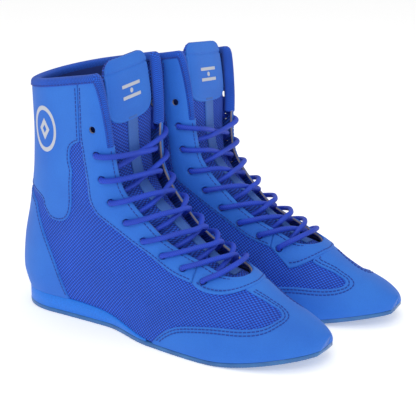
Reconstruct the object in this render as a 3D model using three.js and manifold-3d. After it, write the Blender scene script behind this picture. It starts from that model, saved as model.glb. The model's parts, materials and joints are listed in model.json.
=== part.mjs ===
// A pair of high laced boxing boots, in millimetres, +Z up, toes toward -Y, standing on z = 0.
// One boot is modelled in its own frame: x forward from the heel, y toward the inner (medial)
// side, z up. The left boot is the same boot mirrored.
import * as THREE from 'three';
import { mergeVertices } from 'three/addons/utils/BufferGeometryUtils.js';
import Module from 'manifold-3d';

const wasm = await Module();
wasm.setup();

// ---- driving dimensions ---------------------------------------------------------------------
const footLength = 282;          // heel back to toe tip of the upper
const shaftHeight = 211;         // collar front above the floor
const collarDrop = 17;           // the collar is this much lower at the back
const ballWidth = 94;            // widest part of the forefoot
const shaftWidth = 86;           // shaft, side to side
const heelWidth = 62;
const medialLift = 0.085;        // the inner side stands higher, as a share of its sideways place
const outsoleThickness = 3.4;
const toeSpring = 12.1;          // rise of the sole at the toe
const wedgeHeight = 11.8;        // midsole under the heel
const meshThickness = 1.6;       // foam-backed mesh
const overlayThickness = 0.9;
const liningThickness = 1.0;
const collarPadding = 3.6;
const stiffenerThickness = 1.2;
const insoleBoardThickness = 1.6;
const insoleThickness = 4;
const insoleToeThickness = 2;    // it thins out under the toes
const gap = 0.3;                 // clearance between pieces that touch
const bindingWidth = 7;
const throatTop = 37.5;          // half width of the lacing gap at the collar
const throatEnd = 17.5;          // half width at the last eyelet
const throatRound = 13;          // length of the round end of the gap
const eyeletRows = 9;
const eyeletPitch = 19.7;
const eyeletInset = 14;          // from the edge of the gap to the middle of an eyelet
const eyeletInsetTop = 18;       // the same at the collar
const eyeletDiameter = 5.4;
const liningSetBack = 22;        // the lining stops behind the eyelets
const firstEyelet = 41;          // down the eyelet line from the collar
const laceDiameter = 4.2;
const tongueThickness = 3.2;
const tongueHalfWidth = 23;      // at the laces
const tongueTaper = 10;          // narrower by this much at each side of its top
const tongueRise = 4;            // the tongue stands this much above the collar front
const tongueHingeGap = 0.8;
const bootSpacing = 88;          // heel to heel
const leftBootForward = 13;
const leftBootYaw = 2;           // degrees, toes apart

const overlayTop = gap + overlayThickness;
const liningDepth = meshThickness + gap;
const liningBack = liningDepth + liningThickness;
const laceRoom = 0.9;             // the lace's own clearance above and below
const laceDepth = meshThickness + laceRoom + laceDiameter / 2;
const tongueDepth = laceDepth + laceDiameter / 2 + 2 * laceRoom;

// ---- helpers --------------------------------------------------------------------------------
const clamp = (x, lo, hi) => Math.min(hi, Math.max(lo, x));
const mix = (a, b, t) => a + (b - a) * t;
const step = (t) => clamp(t, 0, 1) ** 2 * (3 - 2 * clamp(t, 0, 1));
const vec = (x, y, z) => new THREE.Vector3(x, y, z);

// A smooth curve through (x, y) pairs that never overshoots them.
function smooth(points) {
  const n = points.length;
  const slope = [];
  for (let i = 0; i < n - 1; i += 1) {
    slope.push((points[i + 1][1] - points[i][1]) / (points[i + 1][0] - points[i][0]));
  }
  const tangent = points.map((_, i) => {
    if (i === 0) return slope[0];
    if (i === n - 1) return slope[n - 2];
    const [a, b] = [slope[i - 1], slope[i]];
    return a * b <= 0 ? 0 : (2 * a * b) / (a + b);
  });
  return (x) => {
    const xc = clamp(x, points[0][0], points[n - 1][0]);
    let i = 0;
    while (i < n - 2 && xc > points[i + 1][0]) i += 1;
    const h = points[i + 1][0] - points[i][0];
    const t = (xc - points[i][0]) / h;
    const [t2, t3] = [t * t, t * t * t];
    return points[i][1] * (2 * t3 - 3 * t2 + 1) + tangent[i] * h * (t3 - 2 * t2 + t)
      + points[i + 1][1] * (3 * t2 - 2 * t3) + tangent[i + 1] * h * (t3 - t2);
  };
}

// ---- sole line ------------------------------------------------------------------------------
const lengthScale = footLength / 282;
const heightScale = shaftHeight / 211;
const along = (x) => x * lengthScale;
const springStart = along(205);
const soleBottom = (x) => toeSpring * step((x - springStart) / (footLength + 22 - springStart));
const wedge = smooth([[0, 1], [60, 0.98], [90, 0.86], [114, 0.5], [137, 0.2], [152, 0.05], [158, 0]]
  .map(([x, share]) => [along(x), share * wedgeHeight]));
const soleTop = (x) => soleBottom(x) + outsoleThickness;
const featherHeight = (x) => soleTop(x) + gap + wedge(x) + gap;

// ---- the last: the surface that the mesh upper lies on --------------------------------------
// Each row is one line across the side of the boot, from the front ridge to the back or sole,
// with half widths at both ends and how far and how squarely the front turns in.
const heelCorner = 6;
const stations = [
  // front x, z; end x, z; width front, end (share of the shaft or heel); turn-in share, power
  [113, 211, 20, 211 - 17, 1, 0.84, 1, 0.84, 0.30, 4.0],
  [115, 172, 20, 162, 1, 0.82, 1, 0.82, 0.32, 4.0],
  [116, 146, 18, 130, 1, 0.80, 1, 0.80, 0.34, 3.6],
  [120, 125, 11, 93, 1, 0.75, 1, 0.75, 0.40, 3.2],
  [133, 110, 2, 56, 1, 0.72, 1, 0.72, 0.52, 2.8],
  [150, 98, 0, 34, 1, 0.72, 1, 0.72, 0.66, 2.5],
  [167, 86, 5, 0, 1, 0.72, 1, 0.72, 0.80, 2.35],
  [183, 76, 45, 0, 1.07, 0.72, 1.02, 0.70, 0.92, 2.2],
  [199, 66, 100, 0, 1.14, 0.745, 1.02, 0.65, 1, 2.2],
  [220, 53, 150, 0, 1.18, 1.07, 1, 0.81, 1, 2.2],
  [244, 39, 205, 0, 1.16, 1.18, 0.93, 0.98, 1, 2.2],
  [266, 30, 255, 0, 1.16, 1.16, 0.84, 0.86, 1, 2.2],
  [282, 22, 280, 0, 1.16, 1.16, 0.79, 0.79, 1, 2.2],
];
const column = (i, f) => smooth(stations.map((row, k) => [k / (stations.length - 1), f(row, k)]));
const shaftHalf = shaftWidth / 2;
const ballShare = ballWidth / 94;
const heelShare = heelWidth / 62;
const frontX = column(0, (r) => along(r[0]));
const frontZ = column(1, (r) => r[1] * heightScale);
const endX = column(2, (r) => along(r[2]));
const shaftEndZ = column(3, (r, k) => {
  if (k >= heelCorner) return featherHeight(along(stations[heelCorner][2]));
  return k === 0 ? shaftHeight - collarDrop : r[3] * heightScale;
});
const heelStation = heelCorner / (stations.length - 1);
const endZ = (b) => (b < heelStation ? shaftEndZ(b) : featherHeight(endX(b)));
const widthShare = (share, k) => {
  if (k <= heelCorner) return share * mix(1, heelShare, k / heelCorner) * shaftHalf;
  return share * mix(heelShare, ballShare, Math.min(1, (k - heelCorner) / 3)) * shaftHalf;
};
const widths = {
  '-1': [column(4, (r, k) => widthShare(r[4], k)), column(5, (r, k) => widthShare(r[5], k))],
  1: [column(6, (r, k) => widthShare(r[6], k)), column(7, (r, k) => widthShare(r[7], k))],
};
const turnShare = column(8, (r) => r[8]);
const turnPower = column(9, (r) => r[9]);
const backProfile = smooth(stations.slice(0, heelCorner + 1).reverse()
  .map((r, i) => [endZ((heelCorner - i) / (stations.length - 1)), along(r[2])]));
const heelRound = along(40);
const toeRound = { '-1': along(82), 1: along(80) };
const toeEnd = footLength + 0.5;
const turn = (t, power) => (1 - (1 - clamp(t, 0, 1)) ** power) ** (1 / power);

// One line across a side, finely sampled, with its length from the ridge.
const sections = new Map();
function sectionAt(b, side) {
  const key = `${b.toFixed(6)}${side}`;
  if (sections.has(key)) return sections.get(key);
  const count = 260;
  const [x0, z0, x1, z1] = [frontX(b), frontZ(b), endX(b), endZ(b)];
  const [w0, w1] = widths[side].map((f) => f(b));
  const [share, power] = [turnShare(b), turnPower(b)];
  const points = [];
  const lengths = [];
  for (let i = 0; i <= count; i += 1) {
    const s = ((1 - Math.cos((Math.PI * i) / count)) / 2) ** 1.5;
    const [x, z] = [mix(x0, x1, s), mix(z0, z1, s)];
    const back = i === count && b <= heelStation ? 0 : turn((x - backProfile(z)) / heelRound, 2.2);
    const y = mix(w0, w1, s) * turn(s / share, power) * back * turn((toeEnd - x) / toeRound[side], 2);
    points.push(vec(x, b >= 1 ? 0 : y, z));
    lengths.push(i ? lengths[i - 1] + points[i].distanceTo(points[i - 1]) : 0);
  }
  const section = { points, lengths, total: lengths[count] };
  sections.set(key, section);
  return section;
}

// The point at a share f of the way from the ridge to the end of line b, seen from one side.
function skinPoint(b, f, side) {
  const { points, lengths, total } = sectionAt(b, side);
  const target = clamp(f, 0, 1) * total;
  let [lo, hi] = [0, lengths.length - 1];
  while (hi - lo > 1) {
    const mid = (lo + hi) >> 1;
    if (lengths[mid] <= target) lo = mid;
    else hi = mid;
  }
  const t = (target - lengths[lo]) / Math.max(1e-9, lengths[hi] - lengths[lo]);
  const p = points[lo].clone().lerp(points[hi], t);
  p.y *= side;
  return p;
}

function skinNormal(b, f, side) {
  const [db, df] = [0.004, 0.012];
  const alongB = skinPoint(Math.min(1, b + db), f, side).sub(skinPoint(Math.max(0, b - db), f, side));
  const alongF = skinPoint(b, Math.min(1, f + df), side).sub(skinPoint(b, Math.max(0, f - df), side));
  const n = alongB.cross(alongF).multiplyScalar(side);
  const flat = f <= 0 || b >= 1 || (f >= 1 && b <= heelStation);
  if (flat) n.y = 0;
  if (b >= 1) n.set(1, 0, 0);
  return n.normalize();
}

const skin = (b, f, side, offset) => skinPoint(b, f, side)
  .addScaledVector(skinNormal(b, f, side), offset);

// ---- the lacing gap -------------------------------------------------------------------------
const fine = 240;
const ridgeLength = [0];
for (let i = 1; i <= fine; i += 1) {
  const [a, b] = [(i - 1) / fine, i / fine];
  ridgeLength.push(ridgeLength[i - 1] + Math.hypot(frontX(b) - frontX(a), frontZ(b) - frontZ(a)));
}
const ridgeAt = (b) => {
  const i = Math.floor(b * fine);
  return mix(ridgeLength[i], ridgeLength[Math.min(fine, i + 1)], b * fine - i);
};
const stationAtRidge = (length) => {
  let i = 0;
  while (i < fine - 1 && ridgeLength[i + 1] < length) i += 1;
  return (i + (length - ridgeLength[i]) / (ridgeLength[i + 1] - ridgeLength[i])) / fine;
};

let throatStop = ridgeAt(0.69) + throatRound;   // ridge length at the round end of the gap
function throatHalf(b) {
  const a = ridgeAt(b);
  const straight = mix(throatTop, throatEnd, clamp(a / (throatStop - throatRound), 0, 1));
  const t = clamp((a - throatStop + throatRound) / throatRound, 0, 1);
  return straight * Math.sqrt(Math.max(0, 1 - t * t));
}
// Share of the way round at which line b reaches a given sideways distance.
function shareAtWidth(b, side, half) {
  const { points, lengths, total } = sectionAt(b, side);
  let i = 0;
  while (i < points.length - 2 && points[i + 1].y < half && points[i + 1].y >= points[i].y) i += 1;
  const t = clamp((half - points[i].y) / Math.max(1e-9, points[i + 1].y - points[i].y), 0, 1);
  return mix(lengths[i], lengths[i + 1], t) / total;
}
const throatShare = (b, side) => (throatHalf(b) <= 0 ? 0 : shareAtWidth(b, side, throatHalf(b)));
const shareOf = (b, side, mm) => mm / sectionAt(b, side).total;

// Eyelets stand at an even pitch along a line that follows the edge of the gap.
function eyeletLine(side) {
  const rows = [];
  let length = 0;
  let last = null;
  for (let i = 0; i <= 900 && rows.length < eyeletRows; i += 1) {
    const b = i / 1200;
    const inset = mix(eyeletInsetTop, eyeletInset, Math.min(1, ridgeAt(b) / (4 * eyeletPitch)));
    const f = throatShare(b, side) + shareOf(b, side, inset);
    const p = skinPoint(b, f, side);
    length += last ? p.distanceTo(last) : 0;
    last = p;
    if (length >= firstEyelet + rows.length * eyeletPitch) rows.push({ b, f, side });
  }
  return rows;
}
const eyelets = { '-1': eyeletLine(-1), 1: eyeletLine(1) };
throatStop = ridgeAt(eyelets[-1][eyeletRows - 1].b) + throatRound;
const throatEndStation = stationAtRidge(throatStop);

// ---- solids ---------------------------------------------------------------------------------
function meshFrom(vertices, faces) {
  const geometry = new THREE.BufferGeometry();
  const numbers = vertices.flatMap((p) => [p.x, p.y, p.z]);
  geometry.setAttribute('position', new THREE.Float32BufferAttribute(numbers, 3));
  geometry.setIndex(faces.flat());
  return geometry;
}

function merged(geometry) {
  const plain = geometry.clone();
  plain.deleteAttribute('normal');
  plain.deleteAttribute('uv');
  const joined = mergeVertices(plain, 1e-3);
  const index = joined.index.array;
  const kept = [];
  for (let i = 0; i < index.length; i += 3) {
    const [a, b, c] = [index[i], index[i + 1], index[i + 2]];
    if (a !== b && b !== c && a !== c) kept.push(a, b, c);
  }
  joined.setIndex(kept);
  return joined;
}

function solid(geometry) {
  const joined = merged(geometry);
  return new wasm.Manifold(new wasm.Mesh({
    numProp: 3,
    vertProperties: new Float32Array(joined.attributes.position.array),
    triVerts: new Uint32Array(joined.index.array),
  }));
}

// The piece that is kept when a cut leaves offcuts.
const mainBody = (manifold) => manifold.decompose().reduce((a, b) => (b.volume() > a.volume() ? b : a));
function geometryOf(manifold) {
  const mesh = mainBody(manifold).getMesh();
  const geometry = new THREE.BufferGeometry();
  geometry.setAttribute('position', new THREE.BufferAttribute(new Float32Array(mesh.vertProperties), 3));
  geometry.setIndex(new THREE.BufferAttribute(new Uint32Array(mesh.triVerts), 1));
  return geometry;
}

// A sheet between two offsets of the last. columnsAt(b) lists [side, share] across each line b.
function sheet(stops, columnsAt, inner, outer, fromMiddle = gap / 2) {
  const half = new Set(columnsAt(stops[0]).map(([side]) => side)).size === 1;
  const place = (b, f, side, offset) => {
    const p = skin(b, f, side, offset);
    if (half) p.y = side * Math.max(side * p.y, fromMiddle);
    if (half && f >= 1 && b <= heelStation) p.y = side * fromMiddle;
    if (f >= 1 && b >= heelStation) p.z = endZ(b);
    return p;
  };
  const grid = stops.map((b) => columnsAt(b).map(([side, f]) => ({
    f,
    out: place(b, f, side, outer(b, f)),
    in: place(b, f, side, inner(b, f)),
  })));
  const across = grid[0].length;
  const vertices = grid.flatMap((row) => row.flatMap((p) => [p.out, p.in]));
  const at = (i, j, k) => (i * across + j) * 2 + k;
  const faces = [];
  const quad = (a, b, c, d) => faces.push([a, b, c], [a, c, d]);
  const last = stops.length - 1;
  for (let i = 0; i < last; i += 1) {
    for (let j = 0; j < across - 1; j += 1) {
      // Every layer splits its quads along the same diagonal, so that the layers nest.
      const backward = grid[i][j + 1].f < grid[i][j].f;
      const corners = (k) => [at(i, j, k), at(i + 1, j, k), at(i + 1, j + 1, k), at(i, j + 1, k)];
      const [p, q, r, t] = corners(0);
      const [w, x, y, v] = corners(1);
      if (backward) {
        quad(q, r, t, p);
        quad(x, w, v, y);
      } else {
        quad(p, q, r, t);
        quad(w, v, y, x);
      }
    }
    quad(at(i, 0, 1), at(i + 1, 0, 1), at(i + 1, 0, 0), at(i, 0, 0));
    quad(at(i, across - 1, 0), at(i + 1, across - 1, 0), at(i + 1, across - 1, 1), at(i, across - 1, 1));
  }
  const zipped = stops[last] >= 1 && !half;
  for (let j = 0; j < across - 1; j += 1) {
    quad(at(0, j, 0), at(0, j + 1, 0), at(0, j + 1, 1), at(0, j, 1));
    if (!zipped) quad(at(last, j, 1), at(last, j + 1, 1), at(last, j + 1, 0), at(last, j, 0));
  }
  return outward(meshFrom(vertices, faces));
}

function volumeOf(geometry) {
  const [p, index] = [geometry.attributes.position, geometry.index.array];
  const at = (i) => vec(p.getX(i), p.getY(i), p.getZ(i));
  let sum = 0;
  for (let i = 0; i < index.length; i += 3) {
    sum += at(index[i]).dot(at(index[i + 1]).cross(at(index[i + 2])));
  }
  return sum / 6;
}

function outward(geometry) {
  if (volumeOf(geometry) < 0) geometry.setIndex(Array.from(geometry.index.array).reverse());
  return geometry;
}

// A body through a row of closed rings of points, closed at both ends.
function loft(rings) {
  const size = rings[0].length;
  const vertices = rings.flat();
  const faces = [];
  for (let i = 0; i < rings.length - 1; i += 1) {
    for (let j = 0; j < size; j += 1) {
      const k = (j + 1) % size;
      const [a, b] = [i * size, (i + 1) * size];
      faces.push([a + j, a + k, b + k], [a + j, b + k, b + j]);
    }
  }
  const end = (rings.length - 1) * size;
  for (let j = 1; j < size - 1; j += 1) {
    faces.push([0, j + 1, j], [end, end + j, end + j + 1]);
  }
  return outward(meshFrom(vertices, faces));
}

// Prisms that cut a sheet to its pattern: one seen from the side, one seen from above.
function outline(points, rounded = true) {
  const shape = new THREE.Shape();
  shape.moveTo(...points[0]);
  if (rounded) shape.splineThru(points.slice(1).map(([x, y]) => new THREE.Vector2(x, y)));
  else points.slice(1).forEach(([x, y]) => shape.lineTo(x, y));
  shape.closePath();
  return shape;
}
const reach = 120;
function sidePrism(shape, side = 0, segments = 12) {
  const depth = side ? reach : 2 * reach;
  const settings = { depth, bevelEnabled: false, curveSegments: segments };
  const geometry = new THREE.ExtrudeGeometry(shape, settings);
  geometry.rotateX(Math.PI / 2);
  geometry.translate(0, side < 0 ? 0 : reach, 0);
  return solid(geometry);
}
function planPrism(shape, segments = 12) {
  const settings = { depth: 3 * reach, bevelEnabled: false, curveSegments: segments };
  return solid(new THREE.ExtrudeGeometry(shape, settings));
}

// Lines and columns shared by every layer, so that the layers nest.
const lines = [0, 0.05, 0.105, 0.16, 0.22, 0.28, 0.345, 0.405, 0.46, heelStation, 0.515, 0.55, 0.6, 0.65,
  ...[0.75, 0.3, 0].map((share) => stationAtRidge(throatStop - throatRound * share)), 0.78, 0.84, 0.915,
  0.965, 0.99, 1].sort((a, b) => a - b);
const columns = [0, 0.1, 0.25, 0.45, 0.65, 0.83, 1];
const between = (b, side, from, to) => columns.map((t) => [side, mix(from(b, side), to(b, side), t)]);
const fromThroat = throatShare;
const toBack = () => 1;
const halfColumns = (side) => (b) => between(b, side, fromThroat, toBack);
const fromRidge = () => 0;
const aroundFront = (b) => [...between(b, -1, fromRidge, toBack).reverse(),
  ...between(b, 1, fromRidge, toBack).slice(1)];
// A sheet that goes round the back is made as two halves that run into each other there.
const runIn = -0.05;
const aroundBack = (stops, inner, outer) => [-1, 1]
  .map((side) => solid(sheet(stops, halfColumns(side), inner, outer, runIn)))
  .reduce((a, b) => a.add(b));
const range = (from, to) => lines.filter((b) => b >= from - 1e-9 && b <= to + 1e-9);
const flat = (value) => () => value;

// How far inside the mesh the lining lies: over the padding at the collar, the stiffener at the heel.
const padStop = 0.105;
const padEase = 0.18;
const stiffenerFrom = 0.5;
function liningOffset(b, f) {
  const collar = (collarPadding + gap) * (1 - step((b - padStop) / (padEase - padStop)));
  const heel = (stiffenerThickness + 2 * gap) * step((b - 0.18) / 0.08) * (1 - step((b - 0.62) / 0.1))
    * step((f - stiffenerFrom + 0.1) / 0.1);
  return -(liningDepth + Math.max(collar, heel));
}

// ---- cutting tools --------------------------------------------------------------------------
const towards = (from, to) => new THREE.Quaternion().setFromUnitVectors(from, to);
function punch({ b, f, side }) {
  const geometry = new THREE.CylinderGeometry(eyeletDiameter / 2, eyeletDiameter / 2, 24, 6);
  geometry.applyQuaternion(towards(vec(0, 1, 0), skinNormal(b, f, side)));
  const p = skinPoint(b, f, side);
  geometry.translate(p.x, p.y, p.z);
  return solid(geometry);
}
const punches = [...eyelets[-1], ...eyelets[1]].map(punch).reduce((a, b) => a.add(b));

// The binding runs up the front edge of the gap, round the collar and down the other side.
const bindingStop = mix(eyelets[-1][0].b, eyelets[-1][1].b, 0.72);
const cornerLine = 0.06;
const cornerShare = 0.3;
function bindingPath() {
  const half = (side) => {
    const edge = (b) => [b, throatShare(b, side) + shareOf(b, side, bindingWidth / 2)];
    const rim = stationAtRidge(bindingWidth / 2);
    const path = [0, 0.25, 0.5, 0.75].map((t) => edge(mix(bindingStop, cornerLine, t)));
    const [start, corner, end] = [edge(cornerLine), edge(rim), [rim, cornerShare]];
    for (let i = 0; i <= 4; i += 1) {
      const t = i / 4;
      path.push([0, 1].map((k) => (1 - t) ** 2 * start[k] + 2 * t * (1 - t) * corner[k] + t * t * end[k]));
    }
    for (const f of [0.42, 0.55, 0.68, 0.8, 0.9]) path.push([rim, f]);
    return path.map(([b, f]) => ({ b, f, side }));
  };
  const rim = stationAtRidge(bindingWidth / 2);
  return [...half(-1), { b: rim, f: 1, side: -1 }, ...half(1).reverse()];
}
// Sweeps a box section along places on the last: inward and outward of the path, and in depth.
function bandRings(path, inside, outside, deep, high) {
  const points = path.map((p) => skinPoint(p.b, p.f, p.side));
  return path.map((p, i) => {
    const ahead = points[Math.min(points.length - 1, i + 1)].clone()
      .sub(points[Math.max(0, i - 1)]).normalize();
    const normal = skinNormal(p.b, p.f, p.side);
    const across = normal.clone().cross(ahead).normalize();
    const up = ahead.clone().cross(across).normalize();
    return [[inside, high], [outside, high], [outside, deep], [inside, deep]]
      .map(([a, h]) => points[i].clone().addScaledVector(across, a).addScaledVector(up, h));
  });
}
const bindingHigh = overlayTop + 0.7;
const bindingDeep = -(liningDepth + collarPadding + gap + liningThickness + 0.3);
const path = bindingPath();
const binding = loft(bandRings(path, -bindingWidth / 2, bindingWidth / 2, bindingDeep, bindingHigh));
// What every layer loses to the binding, out past the raw edge.
const rawEdge = 5;
const trimRings = bandRings(path, bindingWidth / 2 + 2.2 * gap, -(bindingWidth / 2 + rawEdge),
  bindingDeep - gap, bindingHigh + gap);
const trim = trimRings.slice(1).map((ring, i) => solid(loft([trimRings[i], ring])))
  .reduce((a, b) => a.add(b));

// ---- layers of the upper --------------------------------------------------------------------
const cut = (geometry) => mainBody(solid(geometry).subtract(trim));
const meshLines = range(0, 0.915);
const quarter = (side) => geometryOf(cut(sheet(meshLines, halfColumns(side), flat(-meshThickness), flat(0)))
  .subtract(punches));
// The strip beside the gap, with the eyelets, that the lining and padding leave free.
function frontStrip(side) {
  const columnsAt = (b) => {
    const from = throatShare(b, side);
    const width = liningSetBack * step((throatStop - ridgeAt(b)) / 14) + 0.1;
    return [from - 0.02, from + shareOf(b, side, width)].map((f) => [side, f]);
  };
  return solid(sheet(range(0, throatEndStation), columnsAt, flat(-14), flat(2), -8));
}
const strips = { '-1': frontStrip(-1), 1: frontStrip(1) };
const lining = (side) => geometryOf(cut(sheet(lines, halfColumns(side),
  (b, f) => liningOffset(b, f) - liningThickness, liningOffset)).subtract(strips[side]));

const overlaySheet = (from, to, columnsAt) => sheet(range(from, to), columnsAt, flat(gap),
  flat(overlayTop));
const overlayLayer = (from, to, columnsAt) => cut(overlaySheet(from, to, columnsAt));
const z = (value) => value * heightScale;
const seamX = along(181);

const eyestayOuter = [[87, 160], [89, 148], [92, 126], [93, 111], [98, 100], [108, 92], [132, 75],
  [159, 60], [184, 53]].map(([x, h]) => [along(x), z(h)]);
function eyestay(side) {
  const shape = new THREE.Shape();
  shape.moveTo(along(87), shaftHeight + 40);
  shape.lineTo(...eyestayOuter[0]);
  shape.splineThru(eyestayOuter.slice(1).map(([x, y]) => new THREE.Vector2(x, y)));
  shape.lineTo(along(400), eyestayOuter[8][1]);
  shape.lineTo(along(400), shaftHeight + 40);
  shape.closePath();
  const behindSeam = outline([[0, -10], [seamX - gap, -10], [seamX - gap, 400], [0, 400]], false);
  return geometryOf(overlayLayer(0, 0.8, halfColumns(side)).subtract(punches)
    .intersect(sidePrism(shape, side, 3)).intersect(sidePrism(behindSeam, side)));
}

const throatPiecePlan = [[seamX - 1, -30.5], [193, -31], [205, -28], [214, -21.5], [220, -12], [222.5, 0],
  [220, 12], [214, 21.5], [205, 28], [193, 31], [seamX - 1, 30.5]];
function throatPiece() {
  const scaled = throatPiecePlan.map(([x, y]) => [x < seamX ? x : along(x), y * ballShare]);
  const lowEdge = outline([[seamX, z(47)], [along(230), z(44)], [along(230), 400], [seamX, 400]], false);
  const frontSheet = overlaySheet(throatEndStation, 0.85, aroundFront);
  const arms = [-1, 1].map((side) => sheet(range(0.5, throatEndStation), halfColumns(side),
    flat(gap), flat(overlayTop), 0));
  return geometryOf(arms.map(solid).reduce((a, b) => a.add(b), solid(frontSheet)).subtract(punches)
    .intersect(planPrism(outline(scaled), 3)).intersect(sidePrism(lowEdge)));
}

const wingTop = [[153, 0], [158, 8], [168, 17], [181, 24], [206, 30], [231, 32], [243, 34], [250, 38]];
function toeOverlay() {
  const wing = new THREE.Shape();
  wing.moveTo(along(wingTop[0][0]), 0);
  wing.splineThru(wingTop.slice(1).map(([x, h]) => new THREE.Vector2(along(x), z(h))));
  wing.lineTo(along(250), 90);
  wing.lineTo(along(400), 90);
  wing.lineTo(along(400), 0);
  wing.closePath();
  const strap = outline([[223, -14], [234, -11], [244, -9.5], [256, -12], [256, 19], [244, 16.5],
    [234, 17], [223, 20]].map(([x, y]) => [along(x) + (x < 224 ? 1 : 0), y * ballShare]), false);
  const ahead = planPrism(outline([[217, 40], [219, 22], [222, 14], [223.4, 0], [222, -14], [219, -22],
    [217, -40], [400, -40], [400, 40]].map(([x, y]) => [along(x), y * ballShare]), false));
  const pattern = sidePrism(wing, 0, 3).add(planPrism(strap));
  const layer = solid(overlaySheet(0.68, 1, aroundFront));
  const low = sidePrism(outline([[along(140), -10], [along(400), -10], [along(400), z(38)],
    [along(140), z(38)]], false));
  return geometryOf(layer.intersect(pattern).intersect(ahead.add(low)));
}

function collarPanel(side) {
  const edge = [[86.4, 260], [86.4, 156], [81, 153.5], [76.5, 149], [75.2, 140], [77, 131], [75.5, 121],
    [74, 102], [69, 91], [60, 86.5], [50, 88], [43.5, 96], [35, 105]].map(([x, h]) => [along(x), z(h)]);
  const shape = new THREE.Shape();
  shape.moveTo(...edge[0]);
  shape.lineTo(...edge[1]);
  shape.splineThru(edge.slice(2).map(([x, y]) => new THREE.Vector2(x, y)));
  shape.lineTo(-30, z(114));
  shape.lineTo(-30, 260);
  shape.closePath();
  return geometryOf(overlayLayer(0, 0.39, halfColumns(side)).intersect(sidePrism(shape, side, 2)));
}

function heelCounter() {
  const front = [[33, 97], [39, 80], [46, 63], [54, 43], [64, 12]].map(([x, h]) => [along(x), z(h)]);
  const shape = new THREE.Shape();
  shape.moveTo(-30, z(106));
  shape.lineTo(along(18), z(105));
  shape.lineTo(...front[0]);
  shape.splineThru(front.slice(1).map(([x, y]) => new THREE.Vector2(x, y)));
  shape.lineTo(front[4][0], 0);
  shape.lineTo(-30, 0);
  shape.closePath();
  const layer = aroundBack(range(0.16, 0.65), flat(gap), flat(overlayTop));
  return geometryOf(layer.intersect(sidePrism(shape, 0, 3)));
}

function heelStiffener() {
  const offset = meshThickness + gap;
  const layer = aroundBack(range(0.22, 0.6), flat(-offset - stiffenerThickness), flat(-offset));
  const shape = outline([[-30, z(80)], [along(30), z(80)], [along(60), z(12)], [-30, z(12)]], false);
  return geometryOf(layer.intersect(sidePrism(shape)));
}
function toePuff() {
  return sheet(range(0.95, 1), aroundFront, flat(-meshThickness), flat(0));
}
function collarFoam(side) {
  const [from, to] = [range(0, padStop), liningDepth];
  const layer = sheet(from, halfColumns(side), flat(-to - collarPadding), flat(-to));
  return geometryOf(cut(layer).subtract(strips[side]));
}

// ---- sole -----------------------------------------------------------------------------------
// Both edges of the sole at line b, moved out by a distance.
const soleLines = range(heelStation, 1);
function soleEdge(b, side, out) {
  const at = (t) => skinPoint(clamp(t, heelStation, 1), 1, side);
  const p = at(b);
  const d = at(b + 0.004).sub(at(b - 0.004));
  const n = new THREE.Vector2(-d.y * side, d.x).normalize();
  if (b <= heelStation) n.set(-1, 0);
  if (b >= 1) n.set(1, 0);
  return vec(p.x + n.x * out, p.y + n.y * side * out, 0);
}
function plate(from, to, out, bottom, top) {
  const stops = soleLines.filter((b) => endX(b) >= from && endX(b) <= to);
  return loft(stops.map((b) => {
    const [l, m] = [-1, 1].map((side) => {
      const edge = soleEdge(b, side, out);
      if (b <= heelStation || b >= 1) edge.y = side * 3;
      return edge;
    });
    const [low, high] = [bottom(endX(b)), top(endX(b))];
    return [vec(l.x, l.y, high), vec(l.x, l.y, low), vec(m.x, m.y, low), vec(m.x, m.y, high)];
  }));
}
const everywhere = [-50, 2 * footLength];
const outsole = plate(...everywhere, 1.2, soleBottom, soleTop);
const midsole = plate(-50, along(150), 0.6, (x) => soleTop(x) + gap, (x) => soleTop(x) + gap + wedge(x));
const boardInset = -(liningBack + stiffenerThickness + 3 * gap);
const boardTop = (x) => featherHeight(x) + insoleBoardThickness;
const board = plate(...everywhere, boardInset, featherHeight, boardTop);
const insoleBottom = (x) => boardTop(x) + gap;
const insoleTop = (x) => insoleBottom(x)
  + mix(insoleThickness, insoleToeThickness, step((x - along(220)) / along(40)));
const insole = plate(...everywhere, boardInset - gap, insoleBottom, insoleTop);

// ---- tongue ---------------------------------------------------------------------------------
const hingeLine = mix(eyelets[-1][0].b, eyelets[-1][1].b, 0.62);
const halfGapLine = tongueHingeGap / 2 / ridgeLength[fine];
const tongueColumns = (half) => (b) => {
  const edge = (side) => shareAtWidth(b, side, half(b));
  const across = 3;
  const one = (side) => Array.from({ length: across + 1 }, (_, j) => [side, (edge(side) * j) / across]);
  return [...one(-1).reverse(), ...one(1).slice(1)];
};
const lowerHalf = (b) => mix(throatHalf(b) + 3, 13, step((b - 0.66) / 0.12));
const tongueEnd = 0.77;
const tongueOuter = flat(-tongueDepth);
const tongueInner = flat(-tongueDepth - tongueThickness);
// Its lower end rises to the lining past the end of the gap, where it is sewn in.
const seatedOuter = (b) => mix(-tongueDepth, -liningBack - 3 * gap,
  step((b - throatEndStation) / (tongueEnd - throatEndStation)));
const seatedInner = (b) => seatedOuter(b) - tongueThickness;
const tongueLower = sheet([hingeLine + halfGapLine, ...range(hingeLine + 0.03, tongueEnd), tongueEnd],
  tongueColumns(lowerHalf), seatedInner, seatedOuter);

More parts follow.
